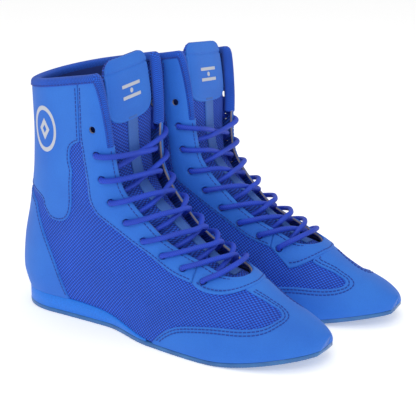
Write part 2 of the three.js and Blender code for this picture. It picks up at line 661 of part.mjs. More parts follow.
// Above the hinge the tongue rises straight, a little above the collar.
const upperHalf = (b) => Math.min(lowerHalf(b),
  tongueHalfWidth + tongueDepth - tongueTaper * Math.max(0, 1 - b / hingeLine));
const upperLines = [0, 0.05, hingeLine - halfGapLine];
function tongueSheet(stops, half, inner, outer) {
  const rise = (b) => tongueRise * (1 - b / hingeLine);
  const geometry = sheet(stops, tongueColumns(half), inner, outer);
  const p = geometry.attributes.position;
  const [zTop, zHinge] = [frontZ(0), frontZ(hingeLine)];
  for (let i = 0; i < p.count; i += 1) {
    const share = clamp((p.getZ(i) - zHinge) / (zTop - zHinge), 0, 1.2);
    p.setZ(i, p.getZ(i) + rise(0) * share);
    p.setX(i, p.getX(i) - 4 * share * share);
  }
  return geometry;
}
const tongueUpper = tongueSheet(upperLines, upperHalf, tongueInner, tongueOuter);
const tabStop = 0.085;
const tabThickness = 1.0;
const tongueTab = tongueSheet([0.006, 0.035, tabStop], (b) => upperHalf(b) - 1,
  flat(-tongueDepth + gap), flat(-tongueDepth + gap + tabThickness));
const webbingHalf = 6.5;
const webbingThickness = 0.6;
const webbingBack = -tongueDepth + 2 * gap;
const webbing = sheet([hingeLine + halfGapLine + 0.01, ...range(hingeLine + 0.03, 0.68)],
  tongueColumns(flat(webbingHalf)), flat(webbingBack), flat(webbingBack + webbingThickness));

// ---- lace -----------------------------------------------------------------------------------
// Straight across on top at the last row, then crossing up the boot; it goes into each eyelet
// from above and comes back out of the gap from below, and both ends are tucked inside.
const overEdge = overlayTop + gap + laceDiameter / 2;
const crossLow = -tongueDepth + 4.3 * laceRoom + laceDiameter / 2;
const crossHigh = crossLow + laceDiameter + gap;
function lacePath() {
  const place = (b, f, side, offset) => skin(b, f, side, offset);
  const half = (first) => {
    const points = [];
    let side = first;
    for (let row = eyeletRows - 1; row >= 1; row -= 1) {
      const here = eyelets[side][row];
      const next = row - 1;
      points.push(place(here.b, here.f, side, overEdge + 0.4), place(here.b, here.f, side, 0),
        place(here.b, here.f, side, -laceDepth - 0.2));
      if (row === 1) {
        const inside = here.f + shareOf(here.b, side, 1.5);
        points.push(place(here.b - 0.03, inside, side, -laceDepth),
          place(here.b - 0.05, inside, side, -laceDepth));
        break;
      }
      const there = eyelets[-side][next];
      const leave = mix(here.b, there.b, 0.3);
      const centre = mix(here.b, there.b, 0.52);
      const arrive = mix(here.b, there.b, 0.82);
      const height = side > 0 ? crossHigh : crossLow;
      const past = (b, which, mm) => throatShare(b, which) + shareOf(b, which, mm);
      points.push(place(leave, past(leave, side, -1), side, -laceDepth));
      points.push(place(centre, 0, side, height));
      points.push(place(arrive, past(arrive, -side, -3), -side, overEdge));
      points.push(place(mix(arrive, there.b, 0.6), past(there.b, -side, 4), -side, overEdge + 0.8));
      side = -side;
    }
    return points;
  };
  const last = eyelets[1][eyeletRows - 1].b;
  const barEnd = (side) => throatShare(last, side) + shareOf(last, side, 2);
  const bar = [-1, 0, 1].map((side) => place(last, side ? barEnd(side) : 0, side || 1,
    overEdge + (side ? 0.8 : 0)));
  return [...half(-1).reverse(), ...bar, ...half(1)];
}
const laceSides = 6;
function tube(points, radius) {
  let across = vec(0, 0, 1);
  return loft(points.map((p, i) => {
    const ahead = points[Math.min(points.length - 1, i + 1)].clone()
      .sub(points[Math.max(0, i - 1)]).normalize();
    across = across.clone().addScaledVector(ahead, -across.dot(ahead)).normalize();
    const other = ahead.clone().cross(across);
    return Array.from({ length: laceSides }, (_, k) => {
      const angle = (2 * Math.PI * k) / laceSides;
      return p.clone().addScaledVector(across, radius * Math.cos(angle))
        .addScaledVector(other, radius * Math.sin(angle));
    });
  }));
}
const lace = tube(lacePath(), laceDiameter / 2);

// ---- materials ------------------------------------------------------------------------------
const finish = (color, roughness) => new THREE.MeshStandardMaterial({ color, roughness, metalness: 0 });
const finishes = {
  mesh: finish(0x2a50c8, 0.85),
  overlay: finish(0x3c80de, 0.75),
  binding: finish(0x3c6ad8, 0.9),
  lining: finish(0x2e3f80, 0.95),
  foam: finish(0xd8d8d0, 0.95),
  board: finish(0xcfc6b0, 0.9),
  midsole: finish(0x0a88f0, 0.55),
  outsole: finish(0x2c6fa8, 0.35),
  lace: finish(0x2648c8, 0.8),
  webbing: finish(0x3f73cc, 0.8),
};

// ---- assembly -------------------------------------------------------------------------------
// The inner side stands a little higher than the outer side, from above the sole upward.
function leaned(geometry) {
  const p = geometry.attributes.position;
  for (let i = 0; i < p.count; i += 1) {
    const rise = clamp((p.getZ(i) - 20) / 60, 0, 1);
    p.setZ(i, p.getZ(i) + medialLift * p.getY(i) * rise);
  }
  return geometry;
}

const pieces = [
  ['outsole', outsole, 'outsole'],
  ['midsole', midsole, 'midsole'],
  ['insole_board', board, 'board'],
  ['insole', insole, 'foam'],
  ['quarter_mesh_lateral', quarter(-1), 'mesh'],
  ['quarter_mesh_medial', quarter(1), 'mesh'],
  ['lining_lateral', lining(-1), 'lining'],
  ['lining_medial', lining(1), 'lining'],
  ['collar_foam_lateral', collarFoam(-1), 'foam'],
  ['collar_foam_medial', collarFoam(1), 'foam'],
  ['heel_stiffener', heelStiffener(), 'board'],
  ['toe_puff', toePuff(), 'board'],
  ['toe_overlay', toeOverlay(), 'overlay'],
  ['throat_piece', throatPiece(), 'overlay'],
  ['eyestay_lateral', eyestay(-1), 'overlay'],
  ['eyestay_medial', eyestay(1), 'overlay'],
  ['collar_panel_lateral', collarPanel(-1), 'overlay'],
  ['collar_panel_medial', collarPanel(1), 'overlay'],
  ['heel_counter', heelCounter(), 'overlay'],
  ['collar_binding', binding, 'binding'],
  ['tongue_lower', tongueLower, 'mesh'],
  ['tongue_webbing', webbing, 'webbing'],
  ['tongue_upper', tongueUpper, 'mesh'],
  ['tongue_tab', tongueTab, 'overlay'],
  ['lace', lace, 'lace'],
].map(([name, geometry, look]) => [name, leaned(merged(geometry)), finishes[look]]);

function boot(prefix) {
  const group = new THREE.Group();
  for (const [name, geometry, material] of pieces) {
    const mesh = new THREE.Mesh(geometry, material);
    mesh.name = `${prefix}_${name}`;
    group.add(mesh);
  }
  return group;
}

const pair = new THREE.Group();
const right = boot('right');
right.rotation.z = -Math.PI / 2;
const left = new THREE.Group();
const mirrored = boot('left');
mirrored.scale.y = -1;
left.add(mirrored);
left.rotation.z = -Math.PI / 2 + THREE.MathUtils.degToRad(leftBootYaw);
left.position.set(bootSpacing, -leftBootForward, 0);
pair.add(right, left);
pair.updateMatrixWorld(true);
const box = new THREE.Box3().setFromObject(pair, true);
pair.position.set(-(box.min.x + box.max.x) / 2, -(box.min.y + box.max.y) / 2, -box.min.z);

export default pair;
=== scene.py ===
import json
import math
import bpy
import numpy as np
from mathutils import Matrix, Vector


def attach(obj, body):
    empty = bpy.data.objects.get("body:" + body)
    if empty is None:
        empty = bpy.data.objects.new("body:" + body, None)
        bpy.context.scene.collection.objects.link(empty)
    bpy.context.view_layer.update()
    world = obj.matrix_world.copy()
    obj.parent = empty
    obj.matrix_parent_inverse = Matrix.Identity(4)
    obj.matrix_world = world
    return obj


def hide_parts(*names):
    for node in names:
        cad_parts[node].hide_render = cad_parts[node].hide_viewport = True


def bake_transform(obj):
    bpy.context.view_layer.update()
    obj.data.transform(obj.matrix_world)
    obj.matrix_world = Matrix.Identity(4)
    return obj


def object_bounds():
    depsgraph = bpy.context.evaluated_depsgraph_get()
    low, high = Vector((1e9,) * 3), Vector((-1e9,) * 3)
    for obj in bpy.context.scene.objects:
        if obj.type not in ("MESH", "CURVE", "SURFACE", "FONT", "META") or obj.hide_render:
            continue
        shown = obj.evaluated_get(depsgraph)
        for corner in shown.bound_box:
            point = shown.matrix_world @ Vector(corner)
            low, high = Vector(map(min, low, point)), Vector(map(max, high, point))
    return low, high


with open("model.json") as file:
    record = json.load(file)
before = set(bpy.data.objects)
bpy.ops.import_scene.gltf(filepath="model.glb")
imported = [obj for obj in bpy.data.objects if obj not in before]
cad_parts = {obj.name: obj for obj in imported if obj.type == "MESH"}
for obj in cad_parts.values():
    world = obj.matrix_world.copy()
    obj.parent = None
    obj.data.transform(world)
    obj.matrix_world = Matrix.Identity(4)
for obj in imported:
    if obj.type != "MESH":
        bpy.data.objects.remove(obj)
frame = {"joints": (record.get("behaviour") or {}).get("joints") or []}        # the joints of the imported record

cad_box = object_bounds()

# ---- studio ----------------------------------------------------------------------------------
# A pale sweep of paper under soft boxes: one large key high on the left of the lens, a fill on
# the right and a top light, so that the pair throws only a soft contact shadow.


def linear(colour):
    """An sRGB hex colour as linear red, green, blue and full alpha."""
    channels = [int(colour[i:i + 2], 16) / 255 for i in (1, 3, 5)]
    return [c / 12.92 if c <= 0.04045 else ((c + 0.055) / 1.055) ** 2.4 for c in channels] + [1.0]


def add(tree, kind, inputs=None, **settings):
    """Adds one node: its settings, then each input from a value or from another node's socket."""
    made = tree.nodes.new(kind)
    for key, value in settings.items():
        setattr(made, key, value)
    for key, value in (inputs or {}).items():
        if isinstance(value, bpy.types.NodeSocket):
            tree.links.new(value, made.inputs[key])
        else:
            made.inputs[key].default_value = value
    return made


def finish(name, **sockets):
    """A material with one Principled shader; returns it, its tree and its shader."""
    material = bpy.data.materials.new(name)
    material.use_nodes = True
    tree = material.node_tree
    tree.nodes.clear()
    values = {name.replace("_", " "): value for name, value in sockets.items()}
    shader = add(tree, "ShaderNodeBsdfPrincipled", values)
    add(tree, "ShaderNodeOutputMaterial", {"Surface": shader.outputs[0]})
    return material, tree, shader


paper, _, _ = finish("white_paper", Base_Color=linear("#FAFAFA"), Roughness=0.9,
                     Emission_Color=linear("#FFFFFF"), Emission_Strength=0.36)
floor_mesh = bpy.data.meshes.new("floor")
reach = 6.0
corners = [(-reach, -reach, 0), (reach, -reach, 0), (reach, reach, 0), (-reach, reach, 0)]
floor_mesh.from_pydata(corners, [], [(0, 1, 2, 3)])
floor = bpy.data.objects.new("floor", floor_mesh)
floor_mesh.materials.append(paper)
bpy.context.scene.collection.objects.link(floor)

world = bpy.data.worlds.new("studio")
world.use_nodes = True
world.node_tree.nodes["Background"].inputs["Color"].default_value = linear("#FFFFFF")
world.node_tree.nodes["Background"].inputs["Strength"].default_value = 0.6
bpy.context.scene.world = world
bpy.context.scene.view_settings.view_transform = "Standard"


def soft_box(name, place, aim, size, power):
    """A square area light at place, turned towards aim; both in metres."""
    lamp = bpy.data.lights.new(name, "AREA")
    lamp.size = size
    lamp.energy = power
    holder = bpy.data.objects.new(name, lamp)
    bpy.context.scene.collection.objects.link(holder)
    away = np.array(place, float) - np.array(aim, float)
    away /= np.linalg.norm(away)
    holder.location = place
    holder.rotation_euler = (math.acos(away[2]), 0, math.atan2(away[0], -away[1]))


pair_middle = (cad_box[0] + cad_box[1]) / 2
soft_box("key", (-1.5, -0.5, 1.5), pair_middle, 1.0, 10)
soft_box("fill", (0.3, -1.8, 0.9), pair_middle, 1.2, 2.5)
soft_box("top", (0.0, 0.1, 1.9), pair_middle, 1.2, 5)

camera_data = bpy.data.cameras.new("camera")
camera_data.sensor_width = 36.0
camera_data.lens = 94.93
camera = bpy.data.objects.new("camera", camera_data)
camera.location = (-0.7286, -0.4547, 0.350)
camera.rotation_euler = (math.radians(90 - 17.06), 0, math.radians(-58))
bpy.context.scene.collection.objects.link(camera)
bpy.context.scene.camera = camera

# ---- the last --------------------------------------------------------------------------------
# Every layer of a boot is stretched over one wooden or plastic last and keeps its shape. It is a
# family of lines across each side, from the front ridge to the heel seam or the sole: b counts
# the lines from the collar (0) to the toe (1), g runs from the ridge (0) to the outer end (-1,
# lateral) or the inner end (1, medial). Lengths in this file are millimetres until place().

foot_length = 282.0
shaft_height = 211.0
collar_drop = 17.0
shaft_half = 43.0
medial_lift = 0.085
outsole_thickness = 3.4
toe_spring, spring_start, spring_reach = 12.1, 205.0, 22.0
wedge_height = 11.8
gap = 0.3


def smooth_curve(xs, ys):
    """A monotone cubic through the points: harmonic mean of the slopes on both sides as tangent."""
    xs, ys = np.array(xs, float), np.array(ys, float)
    slope = np.diff(ys) / np.diff(xs)
    tangent = np.concatenate([slope[:1], np.zeros(len(xs) - 2), slope[-1:]])
    product = slope[:-1] * slope[1:]
    total = np.where(product > 0, slope[:-1] + slope[1:], 1)
    tangent[1:-1] = np.where(product > 0, 2 * product / total, 0)

    def value(x):
        x = np.clip(x, xs[0], xs[-1])
        i = np.clip(np.searchsorted(xs, x, side="left") - 1, 0, len(xs) - 2)
        h = xs[i + 1] - xs[i]
        t = (x - xs[i]) / h
        return (ys[i] * (2 * t ** 3 - 3 * t ** 2 + 1) + tangent[i] * h * (t ** 3 - 2 * t ** 2 + t)
                + ys[i + 1] * (3 * t ** 2 - 2 * t ** 3) + tangent[i + 1] * h * (t ** 3 - t ** 2))
    return value


def step(t):
    """0 to 1 along a smooth S."""
    t = np.clip(t, 0, 1)
    return t * t * (3 - 2 * t)


def mix(a, b, t):
    return a + (b - a) * t


def running(points):
    """Length along a row of points, 0 at the first."""
    return np.concatenate([[0], np.cumsum(np.linalg.norm(np.diff(points, axis=0), axis=1))])


def turn(t, power):
    """A superellipse quarter: 0 at t = 0, 1 from t = 1 on."""
    return (1 - (1 - np.clip(t, 0, 1)) ** power) ** (1 / power)


def sole_bottom(x):
    """Height of the tread: flat to the ball, then rising to the toe."""
    return toe_spring * step((x - spring_start) / (foot_length + spring_reach - spring_start))


wedge_share = smooth_curve([0, 60, 90, 114, 137, 152, 158], [1, .98, .86, .5, .2, .05, 0])


def sole_top(x):
    return sole_bottom(x) + outsole_thickness


def feather_height(x):
    """Where the upper meets the sole."""
    return sole_top(x) + 2 * gap + wedge_height * wedge_share(x)


heel_corner = 6                              # the row at which a line meets heel seam and sole
heel_round, toe_round = 40.0, {-1: 82.0, 1: 80.0}
sections = np.array([
    # front x, z; end x, z; widths front, end lateral; front, end medial; turn-in share, power
    [113, shaft_height, 20, shaft_height - collar_drop, 1, .84, 1, .84, .30, 4.0],
    [115, 172, 20, 162, 1, .82, 1, .82, .32, 4.0],
    [116, 146, 18, 130, 1, .80, 1, .80, .34, 3.6],
    [120, 125, 11, 93, 1, .75, 1, .75, .40, 3.2],
    [133, 110, 2, 56, 1, .72, 1, .72, .52, 2.8],
    [150, 98, 0, 34, 1, .72, 1, .72, .66, 2.5],
    [167, 86, 5, 0, 1, .72, 1, .72, .80, 2.35],
    [183, 76, 45, 0, 1.07, .72, 1.02, .70, .92, 2.2],
    [199, 66, 100, 0, 1.14, .745, 1.02, .65, 1, 2.2],
    [220, 53, 150, 0, 1.18, 1.07, 1, .81, 1, 2.2],
    [244, 39, 205, 0, 1.16, 1.18, .93, .98, 1, 2.2],
    [266, 30, 255, 0, 1.16, 1.16, .84, .86, 1, 2.2],
    [282, 22, 280, 0, 1.16, 1.16, .79, .79, 1, 2.2],
])
section_shares = np.arange(len(sections)) / (len(sections) - 1)
heel_line = section_shares[heel_corner]
sections[heel_corner:, 3] = feather_height(sections[heel_corner, 2])
sections[:, 4:8] *= shaft_half
(front_x, front_z, end_x, shaft_end_z, front_lateral, end_lateral, front_medial, end_medial,
 turn_share, turn_power) = [smooth_curve(section_shares, column) for column in sections.T]
back_profile = smooth_curve(sections[heel_corner::-1, 3], sections[heel_corner::-1, 2])


def end_z(b):
    return np.where(b < heel_line, shaft_end_z(b), feather_height(end_x(b)))


# The lines lie closer where the heel and the toe turn round.
crowd = 0.00008 * 1.45 ** np.arange(14)
lines = np.unique(np.round(np.concatenate([np.linspace(0, 1, 481), heel_line + crowd, 1 - crowd]), 6))
shares = np.linspace(0, 1, 401)


def last_side(side):
    """Points of one side of the last, at every line and at equal shares of its length."""
    s = ((1 - np.cos(np.pi * np.linspace(0, 1, 261))) / 2) ** 1.5
    b = lines[:, None]
    x = mix(front_x(b), end_x(b), s)
    z = mix(front_z(b), end_z(b), s)
    widths = (front_lateral, end_lateral) if side < 0 else (front_medial, end_medial)
    back = turn((x - back_profile(z)) / heel_round, 2.2)
    back[lines <= heel_line, -1] = 0
    y = (mix(widths[0](b), widths[1](b), s) * turn(s / turn_share(b), turn_power(b)) * back
         * turn((foot_length + 0.5 - x) / toe_round[side], 2))
    y[-1] = 0
    points = np.stack([x, y, z], -1)
    run = np.linalg.norm(np.diff(points, axis=1), axis=2)
    length = np.concatenate([np.zeros((len(lines), 1)), np.cumsum(run, 1)], 1)
    even = np.array([[np.interp(shares * l[-1], l, p[:, k]) for k in range(3)]
                     for l, p in zip(length, points)])
    even = even.transpose(0, 2, 1)
    even[..., 1] *= side
    return even, length[:, -1]


def side_normals(points, side):
    """Outward normals: the cross product of the directions along and across the lines."""
    row = np.arange(len(lines))
    before, after = np.maximum(row - 2, 0), np.minimum(row + 2, len(lines) - 1)
    column = np.arange(len(shares))
    along = points[after] - points[before]
    across = points[:, np.minimum(column + 5, 400)] - points[:, np.maximum(column - 5, 0)]
    normal = np.cross(along, across) * side
    normal[:, 0, 1] = 0
    normal[lines <= heel_line, -1, 1] = 0
    normal[-1] = (1, 0, 0)
    return normal / np.maximum(np.linalg.norm(normal, axis=2, keepdims=True), 1e-9)


last = {side: last_side(side) for side in (-1, 1)}
normals = {side: side_normals(last[side][0], side) for side in (-1, 1)}


def read_table(table, b, f):
    """Reads a table kept at every line and share, by straight interpolation both ways."""
    i = np.clip(np.searchsorted(lines, b, side="right") - 1, 0, len(lines) - 2)
    t = ((np.clip(b, 0, 1) - lines[i]) / (lines[i + 1] - lines[i]))[..., None]
    at = np.clip(f, 0, 1) * (len(shares) - 1)
    j = np.clip(at.astype(int), 0, len(shares) - 2)
    s = (at - j)[..., None]
    return (mix(table[i, j], table[i, j + 1], s) * (1 - t)
            + mix(table[i + 1, j], table[i + 1, j + 1], s) * t)


def skin(b, g, offset=0.0):
    """Points a distance offset outside the last, at line b and share g."""
    b, g, offset = np.broadcast_arrays(np.asarray(b, float), np.asarray(g, float),
                                       np.asarray(offset, float))
    lateral, medial = [read_table(last[side][0], b, np.abs(g)) for side in (-1, 1)]
    return np.where((g < 0)[..., None], lateral, medial) + offset[..., None] * skin_normal(b, g)


def skin_normal(b, g):
    """Outward directions there."""
    lateral, medial = [read_table(normals[side], b, np.abs(g)) for side in (-1, 1)]
    return np.where((np.asarray(g) < 0)[..., None], lateral, medial)


def girth(b, side):
    """Length of line b on one side, ridge to end."""
    return np.interp(b, lines, last[side][1])


ridge_run = running(last[1][0][:, 0])


def ridge_at(b):
    """How far down the front ridge a line starts, and the reverse below."""
    return np.interp(b, lines, ridge_run)


def line_at_ridge(length):
    return np.interp(length, ridge_run, lines)


def share_at_width(b, side, half):
    """Share of the way round at which line b first reaches a sideways distance."""
    b = np.atleast_1d(b)
    width = np.abs(read_table(last[side][0][..., 1:2], b[:, None], shares[None, :])[..., 0])
    reached = np.argmax(width >= np.atleast_1d(half)[:, None], axis=1)
    low = np.maximum(reached - 1, 0)
    row = np.arange(len(b))
    rise = width[row, reached] - width[row, low]
    t = np.where(rise > 1e-9, (half - width[row, low]) / np.maximum(rise, 1e-9), 0)
    return mix(shares[low], shares[reached], np.clip(t, 0, 1))


# The lacing gap: straight sides that come together downwards, with a round end.
throat_top, throat_end, throat_round = 37.5, 17.5, 13.0
eyelet_rows, eyelet_pitch, first_eyelet = 9, 19.7, 41.0
eyelet_inset, eyelet_inset_top, eyelet_radius = 14.0, 18.0, 2.7
throat_stop = float(ridge_at(0.69)) + throat_round       # roughly, until the eyelets are placed


def throat_half(b):
    """Half width of the gap."""
    a = ridge_at(b)
    straight = mix(throat_top, throat_end, np.clip(a / (throat_stop - throat_round), 0, 1))
    t = np.clip((a - throat_stop + throat_round) / throat_round, 0, 1)
    return straight * np.sqrt(1 - t * t)


def throat_share(b, side):
    """Share at which the gap's edge crosses a line."""
    return share_at_width(b, side, throat_half(b)) * (throat_half(b) > 0)


def eyelet_line(side):
    """Line and share of each eyelet, at an even pitch along a line beside the gap."""
    b = np.arange(0, 901) / 1200
    inset = mix(eyelet_inset_top, eyelet_inset, np.minimum(1, ridge_at(b) / (4 * eyelet_pitch)))
    f = throat_share(b, side) + inset / girth(b, side)
    points = skin(b, f * side)
    run = running(points)
    wanted = first_eyelet + eyelet_pitch * np.arange(eyelet_rows)
    return np.interp(wanted, run, b), np.interp(wanted, run, f) * side


eyelets = {side: eyelet_line(side) for side in (-1, 1)}
throat_stop = float(ridge_at(eyelets[-1][0][-1])) + throat_round
throat_end_line = float(line_at_ridge(throat_stop))
hinge_line = mix(eyelets[-1][0][0], eyelets[-1][0][1], 0.62)
lace_diameter, mesh_thickness, lace_room = 4.2, 1.6, 0.9
overlay_top = 1.2
lace_depth = mesh_thickness + lace_room + lace_diameter / 2
tongue_depth = lace_depth + lace_diameter / 2 + 2 * lace_room
tongue_thickness = 3.2
hinge_point = skin(hinge_line, 0.0, -(tongue_depth + tongue_thickness / 2))
tongue_joints = {joint["name"].split("_")[0]: joint for joint in frame["joints"]
                 if joint["name"].endswith("tongue_fold")}


def place(boot, points):
    """Boot millimetres to frame metres. The inner side stands a little higher; each boot is set
    by its tongue hinge, whose axis runs across it, and the left boot is the mirror image."""
    joint = tongue_joints[boot]
    across = np.array(joint["axis"][:2])
    forward = np.array([across[1], -across[0]])
    if boot == "left":
        across = -across
    points = np.asarray(points, float)
    lift = medial_lift * points[:, 1] * np.clip((points[:, 2] - 20) / 60, 0, 1)
    flat = (np.outer(points[:, 0] - hinge_point[0], forward) + np.outer(points[:, 1], across)) / 1000
    return np.column_stack([flat + np.array(joint["pos_m"][:2]), (points[:, 2] + lift) / 1000])


def new_object(name, vertices, faces, material, uv=None, second=None):
    """A smooth mesh object from arrays: vertices in metres, equal-sided faces, and if given a UV
    for each vertex and a second material with the faces that carry it."""
    vertices, faces = np.asarray(vertices, np.float32), np.asarray(faces, np.int32)
    mesh = bpy.data.meshes.new(name)
    mesh.vertices.add(len(vertices))
    mesh.vertices.foreach_set("co", vertices.ravel())
    mesh.loops.add(faces.size)
    mesh.loops.foreach_set("vertex_index", faces.ravel())
    mesh.polygons.add(len(faces))
    mesh.polygons.foreach_set("loop_start", np.arange(0, faces.size, faces.shape[1], dtype=np.int32))
    mesh.update(calc_edges=True)
    mesh.polygons.foreach_set("use_smooth", np.ones(len(faces), bool))
    if uv is not None:
        layer = mesh.uv_layers.new(name="surface")
        layer.data.foreach_set("uv", np.asarray(uv, np.float32)[faces.ravel()].ravel())
    mesh.materials.append(material)
    if second is not None:
        mesh.materials.append(second[0])
        mesh.polygons.foreach_set("material_index", second[1].astype(np.int32))
    mesh.validate()
    made = bpy.data.objects.new(name, mesh)
    bpy.context.scene.collection.objects.link(made)
    return made


def for_both_boots(name, points, faces, material, slot, replaced=(), body="boot", **extra):
    """Makes a piece for the right boot and its mirror image for the left; returns both."""
    made = []
    for boot in ("right", "left"):
        turned = np.asarray(faces) if boot == "right" else np.asarray(faces)[:, ::-1]
        piece = new_object(f"{boot}_{name}", place(boot, points), turned, material, **extra)
        if body == "bend":
            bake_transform(piece)
        else:
            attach(piece, f"{boot}_{body}")
        if replaced:
            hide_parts(*[f"{boot}_{node}" for node in replaced])
        made.append(piece)
    return made


def grid_triangles(rows, columns):
    """Two triangles for each cell of a grid whose vertices are numbered row by row."""
    i, j = np.meshgrid(np.arange(rows - 1), np.arange(columns - 1), indexing="ij")
    a = (i * columns + j).ravel()
    b, c, d = a + columns, a + columns + 1, a + 1
    return np.concatenate([np.stack([a, b, c], 1), np.stack([a, c, d], 1)])


def cut(values, depth, faces):
    """Cuts triangles where depth passes through zero and keeps the side where it is positive.
    values holds what each vertex carries; new vertices take their share of both ends."""
    inside = depth > 0
    count = inside[faces].sum(1)
    kept = [faces[count == 3]]
    pairs, plans = [], []
    for wanted in (1, 2):
        chosen = faces[count == wanted]
        odd = inside[chosen] if wanted == 1 else ~inside[chosen]
        first = np.argmax(odd, 1)
        ordered = chosen[np.arange(len(chosen))[:, None], (first[:, None] + np.arange(3)) % 3]
        pairs += [ordered[:, [0, 1]], ordered[:, [0, 2]]]
        plans.append(ordered)
    ends = np.sort(np.concatenate(pairs), 1)
    edges, back = np.unique(ends, axis=0, return_inverse=True)
    back = back.ravel() + len(values)
    t = depth[edges[:, 0]] / (depth[edges[:, 0]] - depth[edges[:, 1]])
    added = mix(values[edges[:, 0]], values[edges[:, 1]], t[:, None])
    ones, twos = len(plans[0]), len(plans[1])
    p, q = back[:ones], back[ones:2 * ones]
    r, s = back[2 * ones:2 * ones + twos], back[2 * ones + twos:]
    kept.append(np.stack([plans[0][:, 0], p, q], 1))
    kept.append(np.stack([r, plans[1][:, 1], plans[1][:, 2]], 1))
    kept.append(np.stack([r, plans[1][:, 2], s], 1))
    faces = np.concatenate(kept)
    used, faces = np.unique(faces, return_inverse=True)
    return np.concatenate([values, added])[used], faces.reshape(-1, 3)


def rim_edges(faces):
    """The directed edges that only one triangle has: the rim of an open surface."""
    edges = np.concatenate([faces[:, [0, 1]], faces[:, [1, 2]], faces[:, [2, 0]]])
    key = np.sort(edges, 1)
    _, back, count = np.unique(key, axis=0, return_inverse=True, return_counts=True)
    return edges[count[back.ravel()] == 1]


def slab(outer, inner, faces):
    """Closes two facing surfaces into one body with walls along the rim. Returns its points,
    its triangles and which triangles are walls."""
    rim = rim_edges(faces)
    size = len(outer)
    walls = np.concatenate([np.stack([rim[:, 1], rim[:, 0], rim[:, 0] + size], 1),
                            np.stack([rim[:, 1], rim[:, 0] + size, rim[:, 1] + size], 1)])
    every = np.concatenate([faces, faces[:, ::-1] + size, walls])
    is_wall = np.arange(len(every)) >= 2 * len(faces)
    return np.concatenate([outer, inner]), every, is_wall


def line_grid(start, stop, count):
    """Lines from start to stop, closer together where the heel and the toe turn round."""
    extra = np.concatenate([heel_line + crowd[::2], 1 - crowd[::2]])
    extra = extra[(extra > start) & (extra < stop)]
    return np.unique(np.concatenate([np.linspace(start, stop, count), extra]))


def unrolled(points):
    """Pattern coordinates in millimetres that follow the cloth: forward, and round the boot."""
    return np.column_stack([points[:, 0], points[:, 2] - 0.6 * np.abs(points[:, 1])])


# ---- collar binding --------------------------------------------------------------------------
# A padded knit tube sewn over the raw edge of the shaft: up the front edge of the gap, round the
# corner, along the collar and down the other front edge. It closes every layer of the shaft.

binding_width = 7.0
binding_deep, binding_high = -7.1, 1.9
binding_stop = mix(eyelets[-1][0][0], eyelets[-1][0][1], 0.72)
corner_line, corner_share = 0.06, 0.3
rim_line = float(line_at_ridge(binding_width / 2))


def front_edge(b, side, inset):
    """Shares a distance behind the edge of the lacing gap."""
    return throat_share(b, side) + inset / girth(b, side)


def binding_half(side):
    """The centre line of the binding on one side, from its lower front end to the heel."""
    up = np.linspace(binding_stop, corner_line, 40)
    start = np.array([corner_line, front_edge(np.array([corner_line]), side, binding_width / 2)[0]])
    corner = np.array([rim_line, front_edge(np.array([rim_line]), side, binding_width / 2)[0]])
    end = np.array([rim_line, corner_share])
    t = np.linspace(0, 1, 26)[1:-1, None]
    bend = (1 - t) ** 2 * start + 2 * t * (1 - t) * corner + t * t * end
    back = np.linspace(corner_share, 1, 60)
    b = np.concatenate([up, bend[:, 0], np.full(60, rim_line)])
    f = np.concatenate([front_edge(up, side, binding_width / 2), bend[:, 1], back])
    return b, f * side


def frames_along(points, normal):
    """Unit directions across a path (away from its left) and up from the surface under it."""
    ahead = np.gradient(points, axis=0)
    ahead /= np.linalg.norm(ahead, axis=1, keepdims=True)
    across = np.cross(normal, ahead)
    across /= np.linalg.norm(across, axis=1, keepdims=True)
    return across, np.cross(ahead, across)


lateral_half, medial_half = binding_half(-1), binding_half(1)
binding_b = np.concatenate([lateral_half[0], medial_half[0][-2::-1]])
binding_g = np.concatenate([lateral_half[1], medial_half[1][-2::-1]])
binding_path = skin(binding_b, binding_g)
binding_across, binding_up = frames_along(binding_path, skin_normal(binding_b, binding_g))


def swept(points, across, up, profile):
    """Carries a closed profile of (across, up) pairs along a path; returns vertices, quads, uv."""
    count, size = len(points), profile.shape[-2]
    profile = np.broadcast_to(profile, (count, size, 2))
    rings = points[:, None] + profile[..., :1] * across[:, None] + profile[..., 1:] * up[:, None]
    i, j = np.meshgrid(np.arange(count - 1), np.arange(size), indexing="ij")
    k = (j + 1) % size
    ahead = (i + 1) * size
    quads = np.stack([i * size + j, i * size + k, ahead + k, ahead + j], -1).reshape(-1, 4)
    run = running(points)
    uv = np.stack(np.broadcast_arrays(run[:, None], np.arange(size) / size), -1).reshape(-1, 2)
    return rings.reshape(-1, 3), quads, uv


def rounded_ends(points, across, up, profile, radius, steps=5):
    """Adds shrinking rings at both ends of a path, so that a swept body ends in a dome."""
    t = np.linspace(0, math.pi / 2, steps + 1)[1:]
    shrink = np.cos(t)
    shrink[-1] = 0.02
    body = np.broadcast_to(profile, (len(points), profile.shape[-2], 2))
    centre = body[0].mean(0)

    def cap(end, before):
        ahead = points[end] - points[before]
        places = points[end] + np.outer(np.sin(t) * radius, ahead / np.linalg.norm(ahead))
        return places, centre + (body[end] - centre) * shrink[:, None, None]

    def carried(rows):
        return np.concatenate([np.repeat(rows[:1], steps, 0), rows, np.repeat(rows[-1:], steps, 0)])

    (head, head_shape), (tail, tail_shape) = cap(0, 1), cap(-1, -2)
    return (np.concatenate([head[::-1], points, tail]), carried(across), carried(up),
            np.concatenate([head_shape[::-1], body, tail_shape]))


def super_ring(width, low, high, power, size):
    """A closed rounded box section, width across and from low to high, as a superellipse."""
    angle = np.linspace(0, 2 * math.pi, size, endpoint=False)
    c, s = np.cos(angle), np.sin(angle)
    x = np.sign(c) * np.abs(c) ** (2 / power) * width / 2
    y = np.sign(s) * np.abs(s) ** (2 / power) * (high - low) / 2 + (high + low) / 2
    return np.column_stack([x, y])


